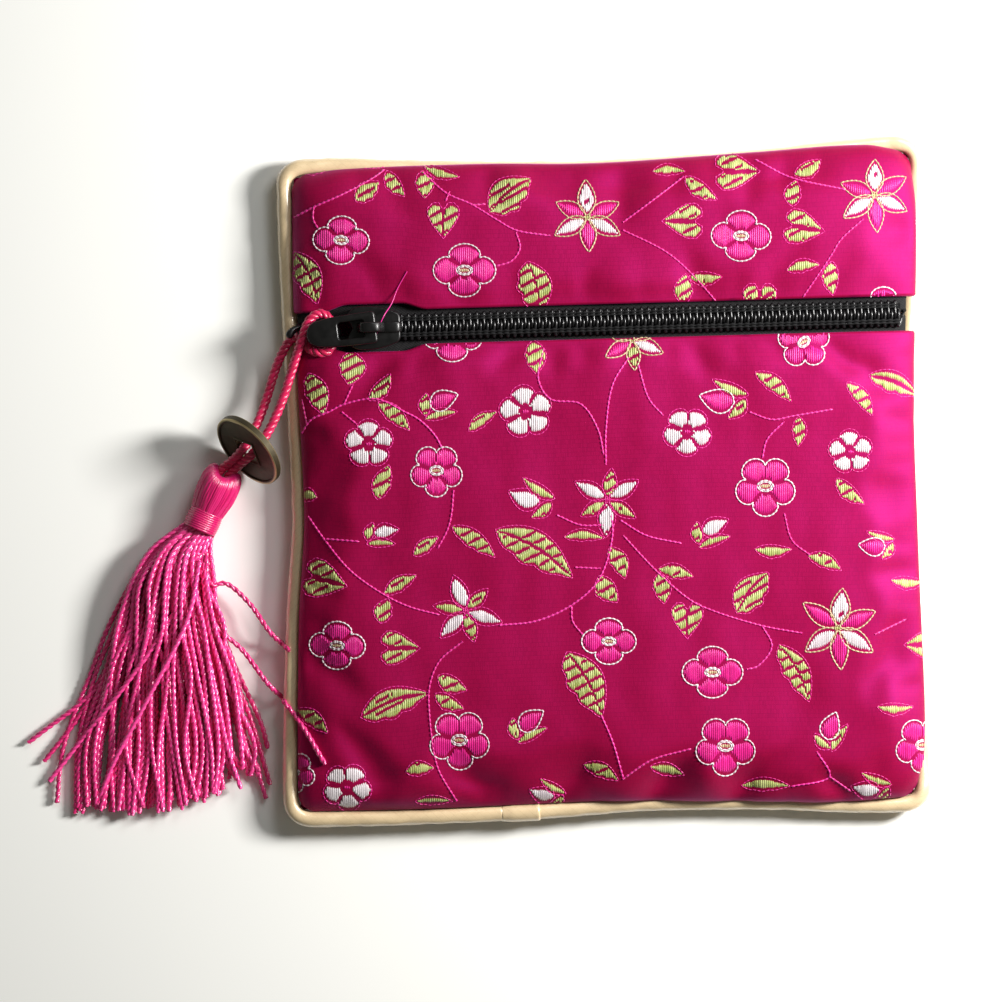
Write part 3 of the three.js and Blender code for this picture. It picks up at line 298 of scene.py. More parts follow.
# Each side from its corner to the next: share along it, how far it bows in, and how far it is rolled
SIDES = [
    [(0, 0, 0), (0.2, 0, 0), (0.4, 0.004, 0.05), (0.56, 0.012, 0.5), (0.76, 0.009, 0.6),
     (0.88, 0.002, 0.45), (1, 0, 0)],
    [(0, 0, 0), (0.07, 0.002, 0.7), (0.26, 0.012, 1), (0.42, 0.017, 1), (0.62, 0.021, 1),
     (0.78, 0.014, 0.9), (0.92, 0.005, 0.6), (1, 0, 0)],
    [(0, 0, 0), (0.07, 0, 0.6), (0.26, 0.012, 0.9), (0.5, 0.019, 0.95), (0.72, 0.012, 0.9),
     (0.92, 0, 0.4), (1, 0, 0)],
    [(0, 0, 0), (0.18, 0.005, 0.3), (0.34, 0.012, 0.35), (0.54, 0.019, 0.35), (0.7, 0.008, 0.3),
     (0.9, 0.001, 0.15), (1, 0, 0)],
]
# Soft hollows: across and up from the middle, wide and tall, as shares of the pouch, and their depth
HOLLOWS = [(-0.24, -0.22, 0.16, 0.2, 0.5), (0.02, 0.36, 0.2, 0.06, 0.4), (-0.08, 0.02, 0.12, 0.1, 0.35),
           (0.26, -0.3, 0.14, 0.1, 0.4), (0.3, 0.08, 0.1, 0.12, 0.3)]
# Puckers of the sewn edges: across and up in millimetres, long and short half widths, turn and depth
PUCKERS = [(11, -52, 4.5, 2.4, 40, 0.9), (18, -51, 3.6, 3.0, 80, -0.7), (25, -53, 4.0, 2.4, 50, 0.85),
           (-22, -53, 5.0, 2.0, -10, 0.5), (-5, -52, 4.0, 2.0, 35, 0.6), (40, -53, 4.5, 2.2, -35, 0.6),
           (-38, -52, 5.5, 1.8, 15, 0.35), (50, -40, 2.0, 6.0, 5, -0.3), (50, -30, 3.0, 4.0, 30, 0.35),
           (52, 45, 3.0, 4.0, -20, 0.3), (30, 53, 5.0, 2.0, 10, 0.35), (5, 52, 6.0, 2.0, 0, 0.4),
           (-15, 51, 4.5, 2.2, -15, -0.35), (-50, 30, 2.0, 7.0, 0, 0.3), (-51, -8, 2.0, 8.0, 0, 0.25),
           (-50, -30, 2.5, 5.0, -10, 0.3), (48, 10, 3.0, 7.0, 10, -0.25)]


def read_side(side, column, along):
    """A side's bow or roll at a share of its length, smooth from row to row."""
    rows = np.array(SIDES[side], float)
    knots, values = rows[:, 0], rows[:, column]
    before, after = np.maximum(np.arange(len(knots)) - 1, 0), np.minimum(np.arange(len(knots)) + 1, len(knots) - 1)
    slopes = (values[after] - values[before]) / (knots[after] - knots[before])
    k = np.clip(np.searchsorted(knots, along), 1, len(knots) - 1)
    span = knots[k] - knots[k - 1]
    t = np.clip((along - knots[k - 1]) / span, 0, 1)
    swing = t * (1 - t) * span * ((1 - t) * slopes[k - 1] - t * slopes[k])
    return values[k - 1] + (values[k] - values[k - 1]) * t * t * (3 - 2 * t) + swing


def roll_at(side, along):
    return np.clip(read_side(side, 2, along), 0, 1)


def inward(a, b):
    run = (b - a) / np.linalg.norm(b - a)
    return np.array([-run[1], run[0]])


def corner_at(k, inset):
    """A corner of the outline, moved in by the same inset from both of its sides."""
    here, last, following = (np.array(CORNERS[n % 4]) * (WIDTH, HEIGHT) for n in (k, k - 1, k + 1))
    before, after = inward(last, here), inward(here, following)
    return here + (before + after) * inset / (1 + before.dot(after))


def side_point(side, along, inset, corner_inset):
    """Points on one side of the outline, at an inset from the piping's outer edge."""
    a, b = corner_at(side, corner_inset), corner_at(side + 1, corner_inset)
    depth = read_side(side, 1, along) * WIDTH + inset - corner_inset
    return a + (b - a) * along[..., None] + inward(a, b) * depth[..., None]


def piping_height(roll):
    return PIPING_LIFT + PIPING_DIAMETER / 2 - PIPING_DROP * roll


def front_seam(side, along):
    """Middle of the front wall at the piping: beside it, or on top of it where the front is rolled."""
    roll = roll_at(side, along)
    beside = PIPING_DIAMETER + SEAM_CLEARANCE
    point = side_point(side, along, beside - roll * (PIPING_DIAMETER / 2 - FIT_GAP), beside)
    low = (CLOTH_WALL + FIT_GAP) / 2
    high = PIPING_DIAMETER / 2 + FIT_GAP + CLOTH_WALL / 2
    return np.dstack([point[..., 0], point[..., 1], piping_height(roll) + low + (high - low) * roll])[0]


def back_seam(side, along):
    inset = PIPING_DIAMETER + SEAM_CLEARANCE
    point = side_point(side, along, inset, inset)
    drop = (CLOTH_WALL + FIT_GAP) / 2
    return np.dstack([point[..., 0], point[..., 1], piping_height(roll_at(side, along)) - drop])[0]


def seam_patch(seam, u, v):
    """Points between the four seams, the seams' points beside them and how far off each one is."""
    bottom, right, top, left = seam(0, u), seam(1, v), seam(2, 1 - u), seam(3, 1 - v)
    ends = [seam(side, np.array([end]))[0] for side, end in ((0, 0.0), (0, 1.0), (2, 1.0), (2, 0.0))]
    p, q = u[:, None], v[:, None]
    point = bottom * (1 - q) + top * q + left * (1 - p) + right * p
    point = point - ends[0] * (1 - p) * (1 - q) - ends[1] * p * (1 - q) - ends[2] * (1 - p) * q - ends[3] * p * q
    edges = np.stack([bottom, right, top, left])
    reach = np.hypot(edges[..., 0] - point[:, 0], edges[..., 1] - point[:, 1])
    weights = 1 / (reach + 0.01) ** 2
    level = (edges[..., 2] * weights).sum(0) / weights.sum(0)
    return point, reach, level


def front_point(u, v):
    """The middle of the padded front wall, which bulges over the piping where it is rolled."""
    point, reach, level = seam_patch(front_seam, u, v)
    edge_rise = np.prod(1 - np.exp(-reach / EDGE_RUN), axis=0)
    crown = np.prod(1 - np.exp(-reach / CROWN_RUN), axis=0)
    x, y = point[:, 0].copy(), point[:, 1].copy()
    sunk = sum(d * np.exp(-(((x / WIDTH - a) / w) ** 2) - ((y / HEIGHT - b) / h) ** 2)
               for a, b, w, h, d in HOLLOWS)
    for side, along in enumerate((u, v, 1 - u, 1 - v)):
        w = reach[side] / ROLL_RUN
        outward = -inward(corner_at(side, 0), corner_at(side + 1, 0))
        swell = ROLL_OUT * roll_at(side, along) * w * np.exp(1 - w)
        x, y = x + outward[0] * swell, y + outward[1] * swell
    return np.column_stack([x, y, level + EDGE_RISE * edge_rise + CROWN_RISE * crown - sunk * edge_rise])


def rounded_corners(grid):
    """A panel's grid with its corners drawn in round."""
    for k in range(4):
        here, last, following = (np.array(CORNERS[n % 4]) * (WIDTH, HEIGHT) for n in (k, k - 1, k + 1))
        to_next, to_last = (following - here) / np.linalg.norm(following - here), (last - here) / np.linalg.norm(last - here)
        seam = np.argmin(np.hypot(*(grid[..., :2] - corner_at(k, 0)).reshape(-1, 2).T))
        origin = grid.reshape(-1, 3)[seam, :2]
        if np.linalg.norm(origin - here) > 9:
            continue
        basis = np.column_stack([to_next, to_last])
        local = (grid[..., :2] - origin) @ np.linalg.inv(basis).T
        p, q = (np.clip(1 - local[..., n] / CLOTH_CORNER, 0, 1.15) for n in (0, 1))
        near = (p > 0) & (q > 0)
        round_p, round_q = p * np.sqrt(1 - np.minimum(q, 1) ** 2 / 2), q * np.sqrt(1 - np.minimum(p, 1) ** 2 / 2)
        change = np.stack([p - round_p, q - round_q], axis=-1) * CLOTH_CORNER
        grid[..., :2] += np.where(near[..., None], change @ basis.T, 0)
    return grid


def back_point(u, v):
    """The back wall, flat on the table and lifting to its seam near the edge."""
    point, reach, level = seam_patch(back_seam, u, v)
    t = np.clip(reach / BACK_RUN, 0, 1)
    down = np.prod(t * t * (3 - 2 * t), axis=0)
    flat = CLOTH_WALL / 2
    return np.column_stack([point[:, 0], point[:, 1], flat + (level - flat) * (1 - down)])


def zip_line(x):
    top = side_point(2, np.array([0.5]), 0, 0)[0, 1]
    return top - ZIP_BELOW_TOP + math.tan(ZIP_TILT) * x


def crossing_v(u, offset):
    """The patch's v where the front crosses a line that runs beside the zip."""
    low, high = np.zeros_like(u), np.ones_like(u)
    for _ in range(26):
        v = (low + high) / 2
        point = front_point(u, v)
        below = point[:, 1] < zip_line(point[:, 0]) + offset
        low, high = np.where(below, v, low), np.where(below, high, v)
    return (low + high) / 2


def smoothstep(t):
    t = np.clip(t, 0, 1)
    return t * t * (3 - 2 * t)


zip_u = np.linspace(0, 1, 500)
zip_mid = front_point(zip_u, crossing_v(zip_u, np.zeros_like(zip_u)))
SLIDER_X = zip_mid[0, 0] + SLIDER_FROM_LEFT - PIPING_DIAMETER


def half_opening(u):
    """Half the cloth's opening over the zip, pushed wider by the slider."""
    away = np.abs(np.interp(u, zip_u, zip_mid[:, 0]) - SLIDER_X)
    pushed = 1 - smoothstep((away - SLIDER_LENGTH / 2) / (SLIDER_LENGTH / 2))
    return ZIP_HALF_OPENING + (SLIDER_WIDE / 2 + FIT_GAP - ZIP_HALF_OPENING) * pushed


def spread_rows(length, pitch, start_is_seam, end_is_seam):
    """Shares of a length, closer together near an end that is a seam."""
    near = [0, 0.15, 0.35, 0.6, 0.9, 1.3, 1.8, 2.4, 3.1, 3.9]
    start = near if start_is_seam else [0, 0.2, 0.5]
    end = [length - row for row in reversed(near if end_is_seam else [0, 0.2, 0.5])]
    count = round((end[0] - start[-1]) / pitch)
    middle = [start[-1] + (end[0] - start[-1]) * k / count for k in range(1, count)]
    return np.array([*start, *middle, *end]) / length


def pucker(grid):
    """Small dents and ridges near the seams, and the wadding's gentle unevenness."""
    x, y = grid[..., 0], grid[..., 1]
    change = np.zeros_like(x)
    for px, py, long, short, turn, depth in PUCKERS:
        c, s = math.cos(math.radians(turn)), math.sin(math.radians(turn))
        a, b = ((x - px) * c + (y - py) * s) / long, ((y - py) * c - (x - px) * s) / short
        change -= 1.5 * depth * np.exp(-a * a - b * b)
    uneven = np.array([noise.noise(Vector((px / 17, py / 23, 2.7))) + 0.4 * noise.noise(Vector((px / 6, py / 9, 8.1)))
                       for px, py in zip(x.ravel(), y.ravel())]).reshape(x.shape)
    return change + 0.55 * uneven


def settle(grid, held, swell):
    """The panel's cloth let go between its seams in a cloth simulation, at twenty times its size."""
    rows, columns = grid.shape[:2]
    mesh = bpy.data.meshes.new("settling")
    index = np.arange(rows * columns).reshape(rows, columns)
    faces = np.stack([index[:-1, :-1], index[:-1, 1:], index[1:, 1:], index[1:, :-1]], axis=-1).reshape(-1, 4)
    mesh.from_pydata((grid.reshape(-1, 3) * 20 * MM).tolist(), [], faces.tolist())
    cloth = bpy.data.objects.new("settling", mesh)
    bpy.context.scene.collection.objects.link(cloth)
    pinned = cloth.vertex_groups.new(name="sewn")
    pinned.add(index[held].ravel().tolist(), 1.0, "REPLACE")
    fabric = cloth.modifiers.new("cloth", "CLOTH")
    rules = fabric.settings
    rules.quality = 5
    rules.mass = 0.3
    rules.tension_stiffness = rules.compression_stiffness = 25
    rules.shear_stiffness = 12
    rules.bending_stiffness = 4
    rules.air_damping = 4
    rules.vertex_group_mass = "sewn"
    rules.shrink_min = -swell
    rules.use_pressure = True
    rules.uniform_pressure_force = 0.6
    rules.effector_weights.gravity = 0
    fabric.collision_settings.use_collision = False
    fabric.point_cache.frame_start, fabric.point_cache.frame_end = 1, 18
    scene = bpy.context.scene
    for step in range(1, 19):
        scene.frame_set(step)
        graph = bpy.context.evaluated_depsgraph_get()
        graph.update()
    settled = cloth.evaluated_get(graph).data
    found = np.empty(rows * columns * 3)
    settled.vertices.foreach_get("co", found)
    scene.frame_set(1)
    bpy.data.objects.remove(cloth)
    change = found.reshape(grid.shape) / (20 * MM) - grid
    far = np.linalg.norm(change, axis=-1, keepdims=True)
    return change * np.minimum(1, 1.1 / np.maximum(far, 1e-6))


def settled_grid(grid, swell):
    """A panel's grid after settling, worked out on every second row and column and spread over all."""
    picks = [np.unique(np.append(np.arange(0, count, 2), count - 1)) for count in grid.shape[:2]]
    coarse = grid[np.ix_(*picks)]
    held = np.zeros(coarse.shape[:2], bool)
    held[:2], held[-2:], held[:, :3], held[:, -3:] = True, True, True, True
    change = settle(coarse, held, swell)
    rows, columns = np.arange(grid.shape[0]), np.arange(grid.shape[1])
    wide = np.stack([[np.interp(columns, picks[1], row[:, k]) for row in change] for k in range(3)], axis=-1)
    tall = np.stack([[np.interp(rows, picks[0], wide[:, c, k]) for c in columns] for k in range(3)], axis=-1)
    change = tall.transpose(1, 0, 2)
    for _ in range(3):
        padded = np.pad(change, ((1, 1), (1, 1), (0, 0)), mode="edge")
        rows = (padded[:-2] + 2 * padded[1:-1] + padded[2:]) / 4
        change = (rows[:, :-2] + 2 * rows[:, 1:-1] + rows[:, 2:]) / 4
    return grid + change


def grid_normals(grid):
    across, along = np.gradient(grid, axis=1), np.gradient(grid, axis=0)
    found = np.cross(across, along)
    return found / np.linalg.norm(found, axis=-1, keepdims=True)


def wall_of_cloth(name, grid, wall, rounding, finish, drop=0.0):
    """A closed wall of cloth round a grid of its middle points, with its edges folded over round."""
    rows, columns = grid.shape[:2]
    normals = grid_normals(grid)
    middle = grid - np.array([0, 0, drop])
    index = np.arange(rows * columns).reshape(rows, columns)
    rim = np.concatenate([index[0, :-1], index[:-1, -1], index[-1, :0:-1], index[:0:-1, 0]])
    inner_grid = np.pad(index[1:-1, 1:-1], 1, mode="edge")
    inner = np.concatenate([inner_grid[0, :-1], inner_grid[:-1, -1], inner_grid[-1, :0:-1], inner_grid[:0:-1, 0]])
    flat, flat_normals = middle.reshape(-1, 3), normals.reshape(-1, 3)
    out = flat[rim] - flat[inner]
    out -= flat_normals[rim] * (out * flat_normals[rim]).sum(1)[:, None]
    out /= np.linalg.norm(out, axis=1)[:, None]
    parts = [flat + flat_normals * wall / 2, flat - flat_normals * wall / 2]
    for angle in np.radians([35, 65, 90, 115, 145]):
        parts.append(flat[rim] + flat_normals[rim] * wall / 2 * math.cos(angle) + out * rounding * math.sin(angle))
    verts = np.vstack(parts)
    count, ring = rows * columns, len(rim)
    top = np.stack([index[:-1, :-1], index[:-1, 1:], index[1:, 1:], index[1:, :-1]], axis=-1).reshape(-1, 4)
    faces = [top, top[:, ::-1] + count]
    rings = [rim, *(2 * count + k * ring + np.arange(ring) for k in range(5)), rim + count]
    for upper, lower in zip(rings, rings[1:]):
        faces.append(np.stack([upper, lower, np.roll(lower, -1), np.roll(upper, -1)], axis=-1))
    mesh = bpy.data.meshes.new(name)
    faces = np.vstack(faces)
    mesh.from_pydata((verts * MM).tolist(), [], faces.tolist())
    run = np.stack([run_rows(grid), run_rows(grid.transpose(1, 0, 2)).T], axis=-1).reshape(-1, 2) * MM
    cloth_place = np.vstack([run, run, *[run[rim]] * 5])
    place = mesh.uv_layers.new(name="cloth")
    place.data.foreach_set("uv", cloth_place[faces.ravel()].astype(np.float32).ravel())
    mesh.materials.append(finish)
    mesh.polygons.foreach_set("use_smooth", [True] * len(faces))
    panel = bpy.data.objects.new(name, mesh)
    bpy.context.scene.collection.objects.link(panel)
    return panel, verts, faces


def run_rows(grid):
    """Distance along each row of a grid from its middle."""
    run = np.concatenate([np.zeros((grid.shape[0], 1)),
                          np.cumsum(np.linalg.norm(np.diff(grid, axis=1), axis=2), axis=1)], axis=1)
    return run - run[:, grid.shape[1] // 2][:, None]


def satin_weave_group():
    """Satin weave: long floats of the warp, each bound down in turn, from a place on the cloth."""
    group = bpy.data.node_groups.new("Satin weave", "ShaderNodeTree")
    face = group.interface
    for name in ("Thread Pitch", "Float Length", "Lean"):
        face.new_socket(name, in_out="INPUT", socket_type="NodeSocketFloat")
    for name in ("Height", "Grain", "Mottle"):
        face.new_socket(name, in_out="OUTPUT", socket_type="NodeSocketFloat")
    given, made = group.nodes.new("NodeGroupInput"), group.nodes.new("NodeGroupOutput")
    place = add_node(group, "ShaderNodeTexCoord")
    turned = add_node(group, "ShaderNodeVectorRotate", {"rotation_type": "Z_AXIS"},
                      Vector=place.outputs["UV"], Angle=given.outputs["Lean"])
    bricks = add_node(group, "ShaderNodeTexBrick", {"offset": 0.4, "offset_frequency": 1},
                      Vector=turned.outputs["Vector"], Scale=1.0, Color1=(1, 1, 1, 1), Color2=(0.55, 0.55, 0.55, 1),
                      Mortar=(0, 0, 0, 1), Mortar_Smooth=1.0, Bias=0.0,
                      Brick_Width=given.outputs["Float Length"], Row_Height=given.outputs["Thread Pitch"])
    gap = add_node(group, "ShaderNodeMath", {"operation": "MULTIPLY"})
    group.links.new(given.outputs["Thread Pitch"], gap.inputs[0])
    gap.inputs[1].default_value = 0.28
    group.links.new(gap.outputs[0], bricks.inputs["Mortar Size"])
    mottle = add_node(group, "ShaderNodeTexNoise", Vector=place.outputs["Object"], Scale=420.0, Detail=7.0,
                      Roughness=0.85)
    grey = add_node(group, "ShaderNodeRGBToBW", Color=bricks.outputs["Color"])
    group.links.new(grey.outputs["Val"], made.inputs["Grain"])
    group.links.new(grey.outputs["Val"], made.inputs["Height"])
    group.links.new(mottle.outputs["Fac"], made.inputs["Mottle"])
    return group


SATIN_WEAVE = satin_weave_group()


def satin_cloth(name, dark, light, pitch, float_length, lean, bump, mottle_share, **constants):
    """Satin cloth: the weave's grain and a soft mottle between two colours, over its own relief."""
    finish, tree, shader = new_finish(name, **constants)
    weave = add_node(tree, "ShaderNodeGroup", {"node_tree": SATIN_WEAVE}, Thread_Pitch=pitch * MM,
                     Float_Length=float_length * MM, Lean=lean)
    share = add_node(tree, "ShaderNodeMath", {"operation": "MULTIPLY_ADD", "use_clamp": True})
    tree.links.new(weave.outputs["Mottle"], share.inputs[0])
    share.inputs[1].default_value = mottle_share
    tree.links.new(weave.outputs["Grain"], share.inputs[2])
    colour = add_node(tree, "ShaderNodeMix", {"data_type": "RGBA"})
    tree.links.new(share.outputs[0], colour.inputs[0])
    colour.inputs[6].default_value, colour.inputs[7].default_value = (*dark, 1), (*light, 1)
    raised = add_node(tree, "ShaderNodeBump", Height=weave.outputs["Height"], Distance=bump * MM, Strength=0.5)
    tree.links.new(colour.outputs[2], shader.inputs["Base Color"])
    tree.links.new(raised.outputs["Normal"], shader.inputs["Normal"])
    return finish


brocade = satin_cloth("brocade satin", (0.110, 0.0005, 0.0045), (0.275, 0.0011, 0.0155), 0.17, 0.75, math.pi / 2,
                      0.02, 0.45, Roughness=0.6, Specular_IOR_Level=1.0, Specular_Tint=(1, 0.06, 0.8, 1),
                      Sheen_Weight=0.2, Sheen_Roughness=0.4, Sheen_Tint=(1, 0.1, 0.8, 1))

FOLD = 0.45
columns = spread_rows(WIDTH, 0.62, True, True)
opening = half_opening(columns) + FOLD
below_zip, above_zip = crossing_v(columns, -opening), crossing_v(columns, opening)
panel_grids = {}
for name, low, high, seam_below in (("front_lower", 0 * columns, below_zip, True),
                                    ("front_upper", above_zip, 0 * columns + 1, False)):
    tall = float((high - low).mean()) * HEIGHT
    shares = spread_rows(tall, 0.62, seam_below, not seam_below)
    u = np.tile(columns, (len(shares), 1))
    v = low + (high - low) * shares[:, None]
    grid = front_point(u.ravel(), v.ravel()).reshape(*u.shape, 3)
    grid[..., 2] += pucker(grid) * smoothstep(np.minimum(np.minimum(u, 1 - u) * WIDTH, 3) / 3)
    panel_grids[name] = settled_grid(rounded_corners(grid), 0.012 if name == "front_lower" else 0.008)
back_columns = spread_rows(WIDTH, 1.0, True, True)
back_rows = spread_rows(HEIGHT, 1.0, True, True)
u, v = np.meshgrid(back_columns, back_rows)
panel_grids["back"] = back_point(u.ravel(), v.ravel()).reshape(*u.shape, 3)

front_verts, front_faces = [], []
for name, flat, under in (("front_lower", (0.116, 0.091), ["piping", "zip_tape_lower"]),
                          ("front_upper", (0.116, 0.035), ["piping", "zip_tape_upper"]),
                          ("back", (0.118, 0.120), ["piping"])):
    panel, verts, faces = wall_of_cloth(name + "_brocade", panel_grids[name], CLOTH_WALL,
                                        FOLD if name != "back" else 0.25, brocade)
    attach(panel, "root")
    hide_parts(name + "_panel")
    if name == "back":
        back_side = BVHTree.FromPolygons(verts.tolist(), faces.tolist())
    else:
        front_faces.extend((faces + len(front_verts)).tolist())
        front_verts.extend(verts.tolist())
front_side = BVHTree.FromPolygons(front_verts, front_faces)

# ---- Woven flowers
# The pattern is woven into the brocade with extra silk wefts, which float over the satin only where
# they show. Fillings run up the cloth in short floats, and outlines and stems are fine backstitches.
FLOAT_PITCH = 0.34
FLOAT_RADIUS = 0.25
LINE_RADIUS = 0.155
STEM_RADIUS = 0.15
LONGEST_FLOATS = {"r": 6.0, "w": 4.6, "g": 2.1, "o": 2.0}
# Places in millimetres from the pouch's middle: across, up, size, a count, width or colours, and turn
MOTIFS = {
    "rose": [
        (-46.1, 42.1, 9.9, 4, 86), (-24.5, 36.8, 10.9, 4, 90), (23.8, 42.8, 10.4, 4, 88),
        (48.8, 30.2, 8.8, 4, 90), (-26.6, 25.3, 10.6, 4, 88), (34.8, 24.3, 9.2, 5, -52),
        (-29.4, 1.8, 9.2, 5, -90), (28.0, -0.9, 10.6, 5, -90), (-25.4, -45.3, 10.6, 5, -88),
        (21.1, -46.3, 10.6, 5, -90), (-46.8, -28.8, 9.9, 4, 88), (0.7, -28.0, 9.5, 4, 90),
        (18.8, -33.4, 10.6, 4, 90), (55.8, -46.3, 9.9, 5, -90), (-54.4, -51.2, 7.4, 5, -90),
    ],
    "blossom": [
        (-41.2, 6.5, 8.1, 5, 20), (-13.8, 12.1, 8.8, 5, 100), (14.4, 8.6, 8.1, 5, -20),
        (42.9, 5.1, 7.4, 5, 95), (-45.1, -53.7, 8.1, 5, 60),
    ],
    "star": [
        (-3.0, 46.1, 6.2, "wrwrwr", 88), (47.2, 50.0, 6.3, "wrwrwr", 95),
        (4.8, 24.6, 5.6, "rwrgwr", 95), (40.7, -25.7, 7.0, "wrwrwr", 90),
    ],
    "lily": [
        (0.5, -3.3, 6.3, "gwgwgw", 88), (-24.3, -22.7, 6.3, "wgwgwg", 105),
    ],
    "bud": [
        (-29.4, 13.4, 7.7, "r", 25), (21.3, 13.9, 9.2, "r", 168), (-13.9, -42.8, 7.7, "r", 40),
        (39.2, -44.2, 7.4, "r", 72), (48.0, -11.4, 7.0, "r", 176), (-39.4, -9.2, 6.7, "w", 12),
        (-12.5, -3.5, 8.8, "w", 158), (18.1, -8.8, 7.7, "w", 32), (-9.7, -55.3, 7.0, "w", 160),
        (47.2, -54.2, 7.7, "w", 170),
    ],
    "leaf": [
        (-50.9, 54.9, 5.5, 2.3, 4), (-41.5, 50.7, 5.3, 2.8, 42), (-36.6, 52.1, 5.5, 2.1, -55),
        (-31.7, 51.9, 4.8, 2.6, -85), (-40.5, 55.3, 4.4, 0.9, 0), (-28.5, 54.3, 6.3, 1.6, -18),
        (11.3, 54.2, 5.5, 1.6, 0), (16.9, 51.2, 6.7, 2.3, -37), (35.6, 54.9, 5.3, 2.3, 32),
        (33.1, 50.3, 4.6, 2.3, 80), (34.7, 37.3, 5.6, 1.8, 10), (39.8, 35.4, 5.8, 2.3, -88),
        (17.6, 35.7, 5.6, 1.9, 0), (13.9, 33.6, 5.1, 2.6, 85), (-44.4, 19.7, 5.8, 3.9, -95),
        (-50.5, 15.2, 7.6, 3.3, -70), (-39.3, 16.4, 5.8, 2.1, 52), (-36.8, 11.3, 7.2, 2.3, -42),
        (-21.3, 10.4, 5.8, 1.8, 35), (-12.2, 21.6, 5.8, 3.0, -85), (-38.7, -0.2, 6.2, 2.6, 70),
        (-31.2, -11.4, 5.3, 1.9, 38), (-22.9, -10.6, 9.0, 2.5, -36), (-35.7, -18.1, 6.3, 2.1, 30),
        (-38.5, -22.7, 4.4, 2.6, 72), (-26.6, -35.3, 5.5, 2.5, -27), (-27.1, -38.5, 5.5, 2.1, -28),
        (-32.3, -50.5, 4.8, 2.1, 8), (-51.2, -42.1, 6.7, 2.3, -37), (-29.9, -56.2, 6.3, 1.2, 0),
        (-51.9, -2.6, 3.0, 1.9, -10), (-3.6, -9.9, 6.7, 1.6, -2), (2.2, -14.3, 6.0, 2.5, -65),
        (0.6, -18.9, 5.5, 3.0, -55), (-0.6, -51.0, 6.5, 2.1, -25), (29.4, 16.4, 7.9, 2.3, -40),
        (44.5, 14.3, 7.2, 2.1, -53), (33.8, 8.6, 5.1, 1.9, -92), (29.4, -11.9, 6.2, 1.8, 0),
        (38.4, -14.3, 6.2, 2.1, -25), (42.9, -1.8, 6.5, 2.1, -42), (53.2, -17.5, 6.0, 1.8, -3),
        (12.4, -16.0, 6.0, 2.1, -13), (9.9, -18.8, 5.3, 2.5, -80), (50.9, -39.5, 6.3, 1.6, 0),
        (11.0, -50.7, 6.0, 1.8, -15), (28.3, -53.4, 8.1, 1.8, 0), (-54.6, 54.4, 2.8, 2.1, 20),
    ],
    "broad leaf": [
        (-12.3, -12.7, 15.5, 5.3, -32), (-36.7, -39.2, 12.3, 4.4, 20),
        (-3.6, -35.6, 12.7, 5.3, -62), (33.1, -33.6, 11.1, 3.7, -62), (-52.3, 35.6, 9.9, 3.9, -66),
        (-12.5, 33.6, 9.5, 4.9, -78), (-16.5, 50.0, 9.2, 5.3, 40), (25.8, -19.5, 8.8, 4.6, 52),
        (50.7, 16.7, 9.5, 3.2, -22),
    ],
    "heart leaf": [
        (13.6, 45.4, 6.7, 0, 180), (23.2, 54.2, 7.4, 0, 0), (34.8, 44.2, 6.7, 0, -10),
        (27.1, 31.3, 6.3, 0, -90), (-48.9, -17.4, 7.4, 0, -15), (-35.8, -29.2, 6.5, 0, 0),
        (-28.2, 45.6, 6.0, 0, -90), (14.4, -24.3, 6.0, 0, -90), (55.3, -28.7, 5.3, 0, 180),
    ],
}
